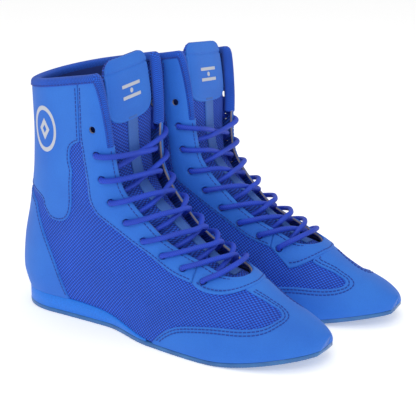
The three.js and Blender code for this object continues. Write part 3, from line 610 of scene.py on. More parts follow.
def noise(tree, scale, detail=2.0):
    """Noise in object space, with its middle range stretched from 0 to 1 as a second node."""
    at = add(tree, "ShaderNodeTexCoord")
    cloud = add(tree, "ShaderNodeTexNoise", {"Vector": at.outputs["Object"], "Scale": scale,
                                             "Detail": detail})
    return cloud, add(tree, "ShaderNodeMapRange", {0: cloud.outputs[0], 1: 0.3, 2: 0.7})


def blended(tree, share, first, second, **settings):
    """A colour mix; returns its colour socket."""
    return add(tree, "ShaderNodeMix", {0: share, 6: first, 7: second}, data_type="RGBA",
               **settings).outputs[2]


def scaled(tree, value, low, high):
    """Turns 0 to 1 into a range; returns its socket."""
    return add(tree, "ShaderNodeMapRange", {0: value, 3: low, 4: high}).outputs[0]


def surfaced(tree, shader, colour, height, strength, distance):
    """Joins a colour and a bump, distance in millimetres, to a shader."""
    bump = add(tree, "ShaderNodeBump", {"Strength": strength, "Distance": distance * 0.001,
                                        "Height": height})
    tree.links.new(colour, shader.inputs["Base Color"])
    tree.links.new(bump.outputs[0], shader.inputs["Normal"])


def woven(tree, shader, light, recess_shade_colour, wave_u, wave_v, height, distance, mottle=0.12):
    """Colour and bump of a knit: the product of two waves over the UV map, in millimetres. Its sunk
    grooves and cells get the darker colour as painted shade.
    """
    place_on = add(tree, "ShaderNodeUVMap")
    parts = add(tree, "ShaderNodeSeparateXYZ", {0: place_on.outputs[0]})
    waves = []
    for axis, pitch in ((0, wave_u), (1, wave_v)):
        turned = add(tree, "ShaderNodeMath", {0: parts.outputs[axis], 1: 2 * math.pi / pitch},
                     operation="MULTIPLY")
        waves.append(add(tree, "ShaderNodeMath", {0: turned.outputs[0]}, operation="SINE"))
    product = add(tree, "ShaderNodeMath", {0: waves[0].outputs[0], 1: waves[1].outputs[0]},
                  operation="MULTIPLY")
    sunk = add(tree, "ShaderNodeMapRange", {0: product.outputs[0], 1: -0.55, 2: 0.45},
               interpolation_type="SMOOTHSTEP")
    # The sunk grooves and cells of the knit take the darker second colour: painted shade in the
    # recesses.
    yarn_and_painted_shade = blended(tree, sunk.outputs[0], linear(light), linear(recess_shade_colour))
    random_tone = scaled(tree, noise(tree, 45.0, 3.0)[1].outputs[0], 1 - mottle, 1 + mottle)
    raised = add(tree, "ShaderNodeMath", {0: 1.0, 1: sunk.outputs[0]}, operation="SUBTRACT")
    surfaced(tree, shader, blended(tree, 1.0, yarn_and_painted_shade, random_tone, blend_type="MULTIPLY"),
             raised.outputs[0], height, distance)


# Polyester knit, brushed: matt, with a fine rib that catches a little light.
binding_knit, tree, shader = finish("brushed_knit_binding", Roughness=0.9, Sheen_Weight=0.06)
woven(tree, shader, "#1C62D8", "#103EA4", 1.5, 0.125, 0.7, 0.3)
binding_body = rounded_ends(binding_path, binding_across, binding_up,
                            super_ring(binding_width, binding_deep, binding_high, 2.8, 36), 1.6)
points, quads, uv = swept(*binding_body)
for piece in for_both_boots("collar_binding_knit", points, quads[:, ::-1], binding_knit,
                            "knit_binding", ["collar_binding"], uv=uv):
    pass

# ---- mesh quarters, linings and inner layers -------------------------------------------------
# The sides are one knitted air mesh with a thin foam back, cut in a lateral and a medial half.
# Inside come collar foam, a heel stiffener, a toe puff and a brushed lining, all glued flat.

lining_depth, lining_thickness = 1.9, 1.0
collar_padding, stiffener_thickness = 3.6, 1.2
lining_set_back, set_back_run = 22.0, 14.0      # behind the eyelets, shrinking below the gap
far_away = 50.0


def side_grid(side, start, stop, rows, columns, first=throat_share):
    """Lines and signed shares of one side on a grid, with triangles that face outwards."""
    b = line_grid(start, stop, rows)
    f = first(b, side)[:, None]
    f = mix(f, 1.0, np.linspace(0, 1, columns))
    g = f * side if side > 0 else (f * side)[:, ::-1]
    values = np.stack(np.broadcast_arrays(b[:, None], g), -1).reshape(-1, 2)
    return values, grid_triangles(len(b), columns)


def front_grid(start, stop, rows, columns):
    """The same right across the front, lateral end to medial end."""
    b = line_grid(start, stop, rows)
    values = np.stack(np.broadcast_arrays(b[:, None], np.linspace(-1, 1, columns)), -1).reshape(-1, 2)
    return values, grid_triangles(len(b), columns)


def back_grid(start, stop, rows, columns, reach_forward):
    """The same round the heel: signed shares counted from the heel seam."""
    b = line_grid(start, stop, rows)
    h = np.linspace(-reach_forward, reach_forward, columns)
    values = np.stack(np.broadcast_arrays(b[:, None], h), -1).reshape(-1, 2)
    return values, grid_triangles(len(b), columns)[:, ::-1]


def heel_share(h):
    """The signed share of a place that is counted from the heel seam."""
    return np.where(h < 0, -1.0, 1.0) * (1 - np.abs(h))


def binding_depth(points):
    """How far inward of the binding's centre line each point lies; large away from it."""
    depth = np.full(len(points), far_away)
    near = points[:, 2] > 150
    chosen = points[near]
    nearest = np.concatenate([((part[:, None] - binding_path[None]) ** 2).sum(-1).argmin(1)
                              for part in np.array_split(chosen, max(1, len(chosen) // 4000))])
    depth[near] = ((chosen - binding_path[nearest]) * binding_across[nearest]).sum(-1)
    ends = (nearest == 0) | (nearest == len(binding_path) - 1)
    depth[np.flatnonzero(near)[ends]] = far_away
    return depth


def eyelet_depth(points):
    """Distance outside the nearest punched hole."""
    centres = np.concatenate([skin(*eyelets[side]) for side in (-1, 1)])
    away = np.linalg.norm(points[:, None] - centres[None], axis=2).min(1)
    return away - eyelet_radius


def gap_depth(values, side):
    """Distance behind the edge of the lacing gap."""
    b, f = values[:, 0], np.abs(values[:, 1])
    return (f - throat_share(b, side)) * girth(b, side)


def rounded(top, depth, radius):
    """Height of a sheet whose cut edge is rounded over."""
    t = radius - np.clip(depth, 0, radius)
    return top - radius + np.sqrt(np.maximum(radius ** 2 - t ** 2, 0))


# Knitted polyester air mesh: matt yarn round open cells in rows 1.5 mm apart, a brushed back.
air_mesh, tree, shader = finish("knitted_air_mesh", Roughness=0.8, Sheen_Weight=0.03)
woven(tree, shader, "#226AEA", "#0A2E9C", 3.0, 3.0, 0.9, 0.5, 0.05)
# The cut edge shows the undyed foam between face and back of the mesh.
cut_foam, _, _ = finish("cut_foam_edge", Base_Color=linear("#8F8A92"), Roughness=0.9)
# Brushed polyester: dark, dull and even.
lining_knit, tree, shader = finish("brushed_lining_knit", Roughness=0.95, Sheen_Weight=0.05)
woven(tree, shader, "#1C3684", "#152A6C", 1.2, 1.2, 0.3, 0.2)
# Slabstock polyurethane: pale grey and quite matt.
foam, _, _ = finish("open_cell_foam", Base_Color=linear("#D8D8D0"), Roughness=0.95)


def lining_offset(b, f):
    """How deep the lining lies: behind the foam at the collar and the stiffener at the heel."""
    collar = (collar_padding + gap) * (1 - step((b - 0.105) / 0.075))
    heel = ((stiffener_thickness + 2 * gap) * step((b - 0.18) / 0.08) * (1 - step((b - 0.62) / 0.1))
            * step((f - 0.4) / 0.1))
    return -(lining_depth + np.maximum(collar, heel))


def lining_start(b, side):
    """Share at which the lining starts: set back from the gap, and on the ridge below it."""
    set_back = lining_set_back * step((throat_stop - ridge_at(b)) / set_back_run)
    return throat_share(b, side) + set_back / girth(b, side)


for side, side_name in ((-1, "lateral"), (1, "medial")):
    values, faces = side_grid(side, 0, 0.93, 250, 84)
    points = skin(values[:, 0], values[:, 1])
    depth = np.minimum(eyelet_depth(points), binding_depth(points))
    values, faces = cut(values, depth, faces)
    outer, inner = skin(*values.T), skin(*values.T, -mesh_thickness)
    points, faces, walls = slab(outer, inner, faces)
    for_both_boots(f"quarter_mesh_{side_name}_knit", points, faces, air_mesh, "air_mesh",
                   [f"quarter_mesh_{side_name}"], uv=unrolled(points), second=(cut_foam, walls))

    values, faces = side_grid(side, rim_line, 1, 130, 44, lining_start)
    depth = binding_depth(skin(values[:, 0], values[:, 1]))
    values, faces = cut(values, depth, faces)
    inside = lining_offset(values[:, 0], np.abs(values[:, 1]))
    points, faces, _ = slab(skin(*values.T, inside), skin(*values.T, inside - lining_thickness), faces)
    for_both_boots(f"lining_{side_name}_knit", points, faces, lining_knit, "lining_cloth",
                   [f"lining_{side_name}"], uv=unrolled(points))

    values, faces = side_grid(side, rim_line, 0.105, 24, 40, lining_start)
    depth = binding_depth(skin(values[:, 0], values[:, 1]))
    values, faces = cut(values, depth, faces)
    points, faces, _ = slab(skin(*values.T, -lining_depth),
                            skin(*values.T, -lining_depth - collar_padding), faces)
    for piece in for_both_boots(f"collar_foam_{side_name}_pad", points, faces, foam, "padding",
                                [f"collar_foam_{side_name}"]):
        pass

# Pressed non-woven board: pale, stiff and slightly fibrous.
fibre_board, _, _ = finish("non_woven_board", Base_Color=linear("#CFC6B0"), Roughness=0.9)
values, faces = back_grid(0.22, 0.6, 60, 60, 0.5)
points = skin(values[:, 0], heel_share(values[:, 1]))
values, faces = cut(values, np.minimum(60 - points[:, 0], 80 - points[:, 2]), faces)
b, g = values[:, 0], heel_share(values[:, 1])
points, faces, _ = slab(skin(b, g, -lining_depth),
                        skin(b, g, -lining_depth - stiffener_thickness), faces)
for_both_boots("heel_stiffener_board", points, faces, fibre_board, "board", ["heel_stiffener"])
values, faces = front_grid(0.945, 1, 16, 120)
points, faces, _ = slab(skin(*values.T, -0.1), skin(*values.T, -mesh_thickness), faces)
for_both_boots("toe_puff_board", points, faces, fibre_board, "board", ["toe_puff"])

# ---- overlays --------------------------------------------------------------------------------
# Thin microfibre patterns glued and sewn over the mesh: an eyestay along each side of the gap, a
# U-shaped throat piece over their lower ends, the toe piece with its strap, a collar panel with a
# round lobe on each side, and the heel counter. Their cut edges are rounded by the sewing.


def spline(points, per=10):
    """A Catmull-Rom curve through the points."""
    p = np.array(points, float)
    p = np.concatenate([[2 * p[0] - p[1]], p, [2 * p[-1] - p[-2]]])
    t = np.linspace(0, 1, per, endpoint=False)[None, :, None]
    a, b, c, d = p[:-3, None], p[1:-2, None], p[2:-1, None], p[3:, None]
    q = 0.5 * (2 * b + (c - a) * t + (2 * a - 5 * b + 4 * c - d) * t ** 2
               + (3 * b - a - 3 * c + d) * t ** 3)
    return np.concatenate([q.reshape(-1, 2), p[-2:-1]])


def outline_depth(flat, outline):
    """Distance of flat points to a closed outline, positive inside it."""
    start, stop = np.asarray(outline, float), np.roll(outline, -1, axis=0)
    side = stop - start
    answer = []
    for part in np.array_split(np.asarray(flat, float), max(1, len(flat) // 6000)):
        to = part[:, None] - start[None]
        t = np.clip((to * side).sum(-1) / np.maximum((side ** 2).sum(-1), 1e-9), 0, 1)
        distance = np.linalg.norm(to - t[..., None] * side, axis=2).min(1)
        crosses = (start[:, 1] > part[:, 1:]) != (stop[:, 1] > part[:, 1:])
        slope = side[:, 0] / np.where(side[:, 1] == 0, 1e-9, side[:, 1])
        left = part[:, :1] < slope * (part[:, 1:] - start[:, 1]) + start[:, 0]
        inside = (crosses & left).sum(1) % 2 == 1
        answer.append(np.where(inside, distance, -distance))
    return np.concatenate(answer)


def joined(a, b, fillet):
    """The larger of two depths, with a round inner corner where they meet."""
    near = np.clip(1 - np.abs(a - b) / fillet, 0, 1)
    return np.maximum(a, b) + fillet / 4 * near ** 2


# Suede-touch microfibre: matt, very fine nap, a soft sheen at grazing angles, slight shading.
microfibre, tree, shader = finish("suede_touch_microfibre", Roughness=0.72, Sheen_Weight=0.08,
                                  Sheen_Roughness=0.5)
patches, nap = noise(tree, 22.0, 4.0)[1], noise(tree, 1500.0)
dye = blended(tree, patches.outputs[0], linear("#1C68D0"), linear("#2575DA"))
grain = scaled(tree, nap[1].outputs[0], 0.94, 1.05)
surfaced(tree, shader, blended(tree, 1.0, dye, grain, blend_type="MULTIPLY"), nap[0].outputs[0],
         0.25, 0.12)

edge_radius, stitch_inset = 0.9, 2.0
stitch_dent, dent_reach = 0.3, 0.8      # each row of stitches pulls the surface down
binding_clear = 4.2                     # rows stop this far from the binding's centre line
seam_x, seam_gap = 181.0, 0.15          # the eyestays end here, under the throat piece
least_row = 8                           # shorter runs of points get no stitches
panel_row_end = 86.0                    # the collar panel's stitches stop here
piece_foot, piece_slant = 54.0, 0.75    # the throat piece's ends: height at the seam, and slope
lift, lift_from, lift_run = 0.75, 200.0, 12.0   # its front part is raised by this, from here on
strap_from, wing_below = 216.0, 38.0    # the toe piece: behind the first, only below the second
sewn = []                # rows to be stitched later: lines, shares and the height of the surface


def contours(values, depth, faces):
    """The lines along which depth passes through zero, each as rows of carried values."""
    inside = depth > 0
    count = inside[faces].sum(1)
    crossed = (count == 1) | (count == 2)
    chosen, few = faces[crossed], count[crossed] == 1
    first = np.argmax(np.where(few[:, None], inside[chosen], ~inside[chosen]), 1)
    ordered = chosen[np.arange(len(chosen))[:, None], (first[:, None] + np.arange(3)) % 3]
    ends = np.sort(np.concatenate([ordered[:, [0, 1]], ordered[:, [0, 2]]]), 1)
    edges, back = np.unique(ends, axis=0, return_inverse=True)
    t = depth[edges[:, 0]] / (depth[edges[:, 0]] - depth[edges[:, 1]])
    places = mix(values[edges[:, 0]], values[edges[:, 1]], t[:, None])
    neighbours = [[] for _ in places]
    for p, q in back.ravel().reshape(2, -1).T.tolist():
        neighbours[p].append(q)
        neighbours[q].append(p)
    left = dict.fromkeys(sorted(range(len(places)), key=lambda i: len(neighbours[i])))
    chains = []
    while left:
        chain = [next(iter(left))]
        while chain[-1] in left:
            del left[chain[-1]]
            chain += [n for n in neighbours[chain[-1]] if n in left][:1]
        chains.append(places[chain])
    return chains


def sew(values, faces, depth, keep, insets, high=overlay_top, from_heel=False):
    """Notes rows of stitches at each inset from the edge of a pattern, where keep is positive."""
    for inset in insets:
        for chain in contours(np.column_stack([values[:, :2], keep]), depth - inset, faces):
            good = chain[:, 2] > 0
            for run in np.split(chain, np.flatnonzero(np.diff(good)) + 1):
                if run[0, 2] > 0 and len(run) > least_row:
                    g = heel_share(run[:, 1]) if from_heel else run[:, 1]
                    sewn.append((run[:, 0], g, high))


def overlay(name, values, faces, depth, replaced, top=None, dents=(stitch_inset,), from_heel=False):
    """Cuts a microfibre pattern where depth is positive and gives it its thickness. Its edge is
    rounded and each row of stitching pulls the surface down a little."""
    values, faces = cut(np.column_stack([values, depth]), depth, faces)
    b, g, d = values.T
    if from_heel:
        g = heel_share(g)
    high = overlay_top if top is None else top(skin(b, g))
    outer = rounded(high, d, edge_radius)
    for inset in dents:
        outer = outer - stitch_dent * np.exp(-((d - inset) / dent_reach) ** 2)
    points, faces, _ = slab(skin(b, g, outer), skin(b, g, 0.02), faces)
    return for_both_boots(name, points, faces, microfibre, "microfibre", replaced)


eyestay_edge = spline([[87, 160], [89, 148], [92, 126], [93, 111], [98, 100], [108, 92], [132, 75],
                       [159, 60], [184, 53]])
eyestay_outline = np.concatenate([[[87, 260]], eyestay_edge, [[400, 53], [400, 260]]])
lobe_edge = spline([[86.4, 156], [81, 153.5], [76.5, 149], [75.2, 140], [77, 131], [75.5, 121],
                    [74, 102], [69, 91], [60, 86.5], [50, 88], [43.5, 96], [35, 105], [-30, 114]])
panel_outline = np.concatenate([[[86.4, 260]], lobe_edge, [[-30, 260]]])
counter_edge = np.concatenate([[[-30, 106], [18, 105]],
                               spline([[33, 97], [39, 80], [46, 63], [54, 43], [64, 12]])])
counter_outline = np.concatenate([counter_edge, [[64, -5], [-30, -5]]])

for side, side_name in ((-1, "lateral"), (1, "medial")):
    values, faces = side_grid(side, 0, 0.8, 230, 90)
    points = skin(values[:, 0], values[:, 1])
    pattern, bound = outline_depth(points[:, [0, 2]], eyestay_outline), binding_depth(points)
    depth = np.min([pattern, seam_x - seam_gap - points[:, 0], eyelet_depth(points), bound,
                    gap_depth(values, side) + 0.02], axis=0)
    sew(values, faces, pattern, np.minimum(bound - binding_clear, seam_x - 1 - points[:, 0]),
        [stitch_inset])
    overlay(f"eyestay_{side_name}_microfibre", values, faces, depth, [f"eyestay_{side_name}"])

    values, faces = side_grid(side, 0, 0.4, 130, 90)
    points = skin(values[:, 0], values[:, 1])
    pattern, bound = outline_depth(points[:, [0, 2]], panel_outline), binding_depth(points)
    depth = np.minimum(pattern, bound)
    sew(values, faces, pattern, np.minimum(bound - binding_clear, panel_row_end - points[:, 0]),
        [stitch_inset])
    overlay(f"collar_panel_{side_name}_microfibre", values, faces, depth,
            [f"collar_panel_{side_name}"])

values, faces = back_grid(0.16, 0.66, 190, 150, 0.66)
points = skin(values[:, 0], heel_share(values[:, 1]))
pattern = outline_depth(points[:, [0, 2]], counter_outline)
sew(values, faces, pattern, points[:, 2] - 17, [stitch_inset], from_heel=True)
overlay("heel_counter_microfibre", values, faces, pattern, ["heel_counter"], from_heel=True)

gap_lines = np.linspace(0.5, throat_end_line, 80)
gap_outline = np.concatenate([skin(gap_lines, -throat_share(gap_lines, -1))[:, :2],
                              skin(gap_lines[::-1], throat_share(gap_lines[::-1], 1))[:, :2]])
throat_edge = spline([[seam_x, -30.5], [193, -31], [205, -28], [214, -21.5], [220, -12], [222.5, 0],
                      [220, 12], [214, 21.5], [205, 28], [193, 31], [seam_x, 30.5]])
values, faces = front_grid(0.58, 0.86, 110, 220)
points = skin(values[:, 0], values[:, 1])
pattern = outline_depth(points[:, :2], throat_edge)
ends = points[:, 2] - piece_foot + piece_slant * (points[:, 0] - seam_x)
sew(values, faces, pattern, np.minimum(points[:, 0] - seam_x - 3, ends - 2), [stitch_inset],
    high=overlay_top + 0.6)
depth = np.min([pattern, eyelet_depth(points), ends,
                -outline_depth(points[:, :2], gap_outline)], axis=0)
overlay("throat_piece_microfibre", values, faces, depth, ["throat_piece"],
        top=lambda p: overlay_top + lift * step((p[:, 0] - lift_from) / lift_run))

wing_edge = spline([[153, 0], [158, 8], [168, 17], [181, 23], [206, 27.5], [231, 28.5], [243, 30.5],
                    [250, 34.5]])
wing_outline = np.concatenate([wing_edge, [[250, 90], [400, 90], [400, -5], [150, -5]]])
strap_outline = np.array([[215, -15], [223, -14], [234, -11], [244, -9.5], [256, -12], [256, 19],
                          [244, 16.5], [234, 17], [223, 20], [215, 21]])
values, faces = front_grid(0.66, 1, 190, 240)
points = skin(values[:, 0], values[:, 1])
toe_depth = np.minimum(joined(outline_depth(points[:, [0, 2]], wing_outline),
                              outline_depth(points[:, :2], strap_outline), 7.0),
                       np.maximum(points[:, 0] - strap_from, wing_below - points[:, 2]))
toe_rows = (1.9, 4.1)
above_sole = points[:, 2] - feather_height(points[:, 0]) - 3
past_throat = np.where(points[:, 0] < 200, above_sole,
                       -outline_depth(points[:, :2], throat_edge) - 0.8)
sew(values, faces, toe_depth, np.minimum(past_throat, above_sole), toe_rows)
overlay("toe_overlay_microfibre", values, faces, toe_depth, ["toe_overlay"], dents=toe_rows)

# ---- stitching -------------------------------------------------------------------------------
# Bonded polyester lockstitch, 3.2 mm a stitch: one row inside most edges and two on the toe
# piece. Each stitch is a short bar of thread half sunk in the surface.

stitch_pitch, stitch_length, thread_radius = 3.2, 2.5, 0.42
bar_along = np.array([-0.5, -0.42, 0.42, 0.5])
bar_round = np.array([0.3, 1, 1, 0.3])
bar_angles = np.linspace(0, 2 * math.pi, 6, endpoint=False)
bar_local = np.stack([np.repeat(bar_along * stitch_length, 6),
                      (bar_round[:, None] * np.cos(bar_angles)).ravel() * thread_radius,
                      (bar_round[:, None] * np.sin(bar_angles)).ravel() * thread_radius], 1)
ring, spoke = np.meshgrid(np.arange(3), np.arange(6), indexing="ij")
low, high = (ring * 6 + spoke).ravel(), (ring * 6 + (spoke + 1) % 6).ravel()
fan = np.stack([np.zeros(4, int), np.arange(1, 5), np.arange(2, 6)], 1)
bar_faces = np.concatenate([np.stack([low, low + 6, high + 6], 1), np.stack([low, high + 6, high], 1),
                            fan, fan[:, ::-1] + 18])
bar_faces = bar_faces[:, ::-1]


def stitched(points, up):
    """Stitches along a row of places on a surface, given with the upward direction at each."""
    run = running(points)
    centres = np.arange(0.5, run[-1] / stitch_pitch - 0.4) * stitch_pitch
    middle = np.stack([np.interp(centres, run, points[:, k]) for k in range(3)], 1)
    upward = np.stack([np.interp(centres, run, up[:, k]) for k in range(3)], 1)
    reach = 0.8
    ahead = np.stack([np.interp(centres + reach, run, points[:, k])
                      - np.interp(centres - reach, run, points[:, k]) for k in range(3)], 1)
    ahead /= np.maximum(np.linalg.norm(ahead, axis=1, keepdims=True), 1e-9)
    across = np.cross(upward, ahead)
    across /= np.maximum(np.linalg.norm(across, axis=1, keepdims=True), 1e-9)
    upward = np.cross(ahead, across)
    bars = (middle[:, None] + bar_local[None, :, :1] * ahead[:, None]
            + bar_local[None, :, 1:2] * across[:, None] + bar_local[None, :, 2:] * upward[:, None])
    faces = bar_faces[None] + (np.arange(len(centres)) * len(bar_local))[:, None, None]
    return bars.reshape(-1, 3), faces.reshape(-1, 3)


def gathered(rows):
    """Puts several rows of stitches into one mesh."""
    sizes = np.cumsum([0] + [len(points) for points, _ in rows[:-1]])
    return (np.concatenate([points for points, _ in rows]),
            np.concatenate([faces + size for (_, faces), size in zip(rows, sizes)]))


newton_steps = 4


def locate(side, wanted, axes):
    """Line and share at which one side of the last shows the wanted two coordinates: the nearest
    table entry, then a few Newton steps."""
    points = last[side][0][..., axes]
    coarse = points[::4, ::4].reshape(-1, 2)
    columns = len(shares[::4])
    nearest = np.concatenate([((part[:, None] - coarse[None]) ** 2).sum(-1).argmin(1)
                              for part in np.array_split(wanted, max(1, len(wanted) // 400))])
    b, f = lines[::4][nearest // columns], shares[::4][nearest % columns]
    for _ in range(newton_steps):
        here = skin(b, f * side)[:, axes]
        by_b = (skin(np.minimum(b + 0.003, 1), f * side)[:, axes] - here) / 0.003
        by_f = (skin(b, np.minimum(f + 0.003, 1) * side)[:, axes] - here) / 0.003
        miss = wanted - here
        area = by_b[:, 0] * by_f[:, 1] - by_b[:, 1] * by_f[:, 0]
        area = np.where(np.abs(area) < 1e-3, 1e9, area)
        move_b = (miss[:, 0] * by_f[:, 1] - miss[:, 1] * by_f[:, 0]) / area
        move_f = (by_b[:, 0] * miss[:, 1] - by_b[:, 1] * miss[:, 0]) / area
        b = np.clip(b + np.clip(move_b, -0.03, 0.03), 0, 0.995)
        f = np.clip(f + np.clip(move_f, -0.06, 0.06), 0, 0.995)
    return b, f * side


def row_on(b, g, high=overlay_top):
    """A row of stitches on the last at those lines and shares."""
    return stitched(skin(b, g, high - 0.12), skin_normal(b, g))


# Bonded polyester thread, darker than the overlays it holds.
thread, _, _ = finish("bonded_polyester_thread", Base_Color=linear("#12389A"), Roughness=0.55)

rows = [row_on(*row) for row in sewn]
for side in (-1, 1):
    inner = np.linspace(binding_stop + 0.01, throat_end_line - 0.006, 120)
    rows.append(row_on(inner, side * front_edge(inner, side, 3.6)))
points, faces = gathered(rows)
for_both_boots("upper_stitching", points, faces, thread, "microfibre")

inner_edge = binding_path + binding_across * 1.4 + binding_up * (binding_high - 0.12)
points, faces = stitched(inner_edge, binding_up)
for_both_boots("binding_stitching", points, faces, thread, "knit_binding")

# ---- tongue ----------------------------------------------------------------------------------
# A padded tongue of ribbed air mesh, sewn in below the gap, that stands a little above the
# collar. A woven tape runs down its middle and a smooth patch with a round lower edge caps it.

tongue_half_width, tongue_taper, tongue_rise, tongue_end = 25.5, 5.0, 4.0, 0.77
corner_radius, corner_from = 11.0, 0.6          # of its round top corners, as a drop and a share
tongue_margin, tongue_root, tongue_lean = 7.0, 16.0, 4.0     # past the gap, at its end, at its top
webbing_half, webbing_high, webbing_deep = 6.5, 1.2, 1.3
top_z, hinge_z = float(front_z(0)), float(front_z(hinge_line))


def tongue_half(b):
    """Half width of the tongue on the last's ridge."""
    lower = mix(throat_half(b) + tongue_margin, tongue_root, step((b - 0.66) / 0.12))
    upper = tongue_half_width + tongue_depth - tongue_taper * np.maximum(1 - b / hinge_line, 0)
    return mix(upper, lower, step((b - hinge_line) / 0.05))


def tongue_base(b):
    """Depth of the tongue's face: level behind the laces, rising to its seam past the gap."""
    start = throat_end_line - 0.07
    seat = -(lining_depth + lining_thickness) - 3 * gap
    return mix(-tongue_depth, seat, step((b - start) / (tongue_end - 0.03 - start)))


def on_tongue(b, g, offset):
    """A point on the tongue: on the last, then drawn up and back above the hinge."""
    points = skin(b, g, offset)
    share = np.clip((points[:, 2] - hinge_z) / (top_z - hinge_z), 0, 1.2) * (b < hinge_line + 0.02)
    points[:, 2] += tongue_rise * share
    points[:, 0] -= tongue_lean * share ** 2
    return points


def tongue_grid(start, stop, rows, columns, half):
    """Lines and shares across the tongue, with s from -1 to 1 from edge to edge."""
    b = np.linspace(start, stop, rows)
    s = np.linspace(-1, 1, columns)
    edges = {side: share_at_width(b, side, half(b)) for side in (-1, 1)}
    g = np.where(s < 0, s * edges[-1][:, None], s * edges[1][:, None])
    values = np.stack(np.broadcast_arrays(b[:, None], g, s), -1).reshape(-1, 3)
    return values, grid_triangles(rows, columns)


upper_lines = np.linspace(0, 0.3, 200)
ridge = on_tongue(upper_lines, np.zeros(200), -tongue_depth)
ridge_drop = running(ridge)


def from_top(b):
    """Distance down the tongue from its top edge."""
    further = np.maximum(ridge_at(b) - ridge_at(upper_lines[-1]), 0)
    return np.interp(b, upper_lines, ridge_drop) + further


def corner_drop(s):
    """How far the top edge falls at its round corners."""
    out = np.clip((np.abs(s) - corner_from) / (1 - corner_from), 0, 1)
    return corner_radius * (1 - np.sqrt(np.maximum(1 - out ** 2, 0)))


# Ribbed polyester air mesh: columns of open cells 2.2 mm apart, standing on padding.
tongue_mesh, tree, shader = finish("ribbed_air_mesh", Roughness=0.8, Sheen_Weight=0.03)
woven(tree, shader, "#1C5EDC", "#08268C", 4.4, 2.6, 0.9, 0.5, 0.05)
values, faces = tongue_grid(0, tongue_end, 190, 64, tongue_half)
b, g, s = values.T
edge = np.minimum((1 - np.abs(s)) * tongue_half(b), from_top(b) - corner_drop(s)) + 0.02
values, faces = cut(np.column_stack([values, edge]), edge, faces)
b, g, s, edge = values.T
padding = rounded(0, edge, tongue_thickness / 2)
base = tongue_base(b)
outer, inner = base + padding, base - tongue_thickness - padding
points, faces, _ = slab(on_tongue(b, g, outer), on_tongue(b, g, inner), faces)
across_mm = np.tile(s * tongue_half(b), 2)
down_mm = np.tile(from_top(b), 2)
for piece in for_both_boots("tongue_ribbed_mesh", points, faces, tongue_mesh, "tongue_mesh",
                            ["tongue_lower", "tongue_upper"], body="bend",
                            uv=np.column_stack([across_mm, down_mm])):
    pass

# Plain-woven polyester tape: paler, flat, with fine cross ribs.
tape, tree, shader = finish("woven_polyester_tape", Roughness=0.6, Sheen_Weight=0.05)
woven(tree, shader, "#3C74C8", "#2A59AC", 1.1, 1.1, 0.4, 0.2)
values, faces = tongue_grid(0.06, 0.70, 170, 12, lambda b: np.full(np.shape(b), webbing_half))
b, g, s = values.T
tape_high = tongue_base(b) + webbing_high
edge = (1 - np.abs(s)) * webbing_half
points, faces, _ = slab(on_tongue(b, g, rounded(tape_high, edge, 0.4)),
                        on_tongue(b, g, tape_high - webbing_deep), faces)
for_both_boots("tongue_webbing_tape", points, faces, tape, "webbing", ["tongue_webbing"], body="bend",
               uv=np.column_stack([np.tile(s * webbing_half, 2), np.tile(ridge_at(b), 2)]))

# The patch: its lower edge is a wide arc between tab_flat and tab_drop, with a seam at band_drop.
tab_drop, tab_flat, band_drop = 50.0, 35.0, 10.0
tab_high, tab_deep, band_depth = -tongue_depth + 1.3, 1.6, 0.9
values, faces = tongue_grid(0.0, 0.14, 120, 90, lambda b: tongue_half(b) - gap)
b, g, s = values.T
down = from_top(b)
corner = np.abs(s) ** 3 + (np.clip(down - tab_flat, 0, None) / (tab_drop - tab_flat)) ** 2
depth = np.min([(1 - corner ** (1 / 2.4)) * 16, (1 - np.abs(s)) * 20, down - corner_drop(s)],
               axis=0) + 0.02
values, faces = cut(np.column_stack([values, depth]), depth, faces)
b, g, s, depth = values.T
down = from_top(b)
outer = rounded(tab_high, depth, edge_radius) + 0.8 * step((depth - stitch_inset) / 8)
outer -= band_depth * np.exp(-((down - band_drop) / edge_radius) ** 2)
outer -= 0.25 * np.exp(-((depth - stitch_inset) / dent_reach) ** 2)
points, faces, _ = slab(on_tongue(b, g, outer), on_tongue(b, g, tab_high - tab_deep), faces)
for_both_boots("tongue_tab_microfibre", points, faces, microfibre, "microfibre", ["tongue_tab"],
               body="tongue")

# ---- lace ------------------------------------------------------------------------------------
# One round braided cord: straight across on top at the lowest eyelets, then crossing up the boot.
# It goes into each eyelet from above, comes back out of the gap from below, and is tucked inside.

lace_radius = lace_diameter / 2
over_edge = overlay_top + gap + lace_radius
cross_low = -tongue_depth + 4.3 * lace_room + lace_radius
cross_high = cross_low + lace_diameter + gap


def behind_gap(b, side, distance):
    """Signed share a distance behind the edge of the gap."""
    return side * float(front_edge(np.array([b]), side, distance)[0])


def lace_half(first):
    """Line, share and height of each point of one end of the lace, from the bar upwards."""
    points, side = [], first
    for row in range(eyelet_rows - 1, 0, -1):
        b, g = eyelets[side][0][row], eyelets[side][1][row]
        points += [(b, g, over_edge - 0.9), (b, g, -1.2), (b, g, -lace_depth - 0.2)]
        if row == 1:
            inside = g + side * 1.5 / float(girth(b, side))
            points += [(b - 0.03, inside, -lace_depth), (b - 0.05, inside, -lace_depth)]
            break
        there = eyelets[-side][0][row - 1]
        target = eyelets[-side][1][row - 1]
        leave, centre = mix(b, there, 0.25), mix(b, there, 0.5)
        middle_high = cross_high if side > 0 else cross_low
        points += [(leave, behind_gap(leave, side, -1), -lace_depth),
                   (mix(leave, centre, 0.5), 0.5 * behind_gap(centre, side, -1),
                    mix(-lace_depth, middle_high, 0.7)),
                   (centre, 0, middle_high)]
        edge_share = behind_gap(mix(centre, there, 0.75), -side, 0) / target
        for share in (0.6 * edge_share, 0.85 * edge_share, edge_share,
                      mix(edge_share, 1, 0.3), mix(edge_share, 1, 0.65)):
            high = mix(middle_high, over_edge, step(share / edge_share))
            points.append((mix(centre, there, share), target * share, high))
        side = -side
    return points


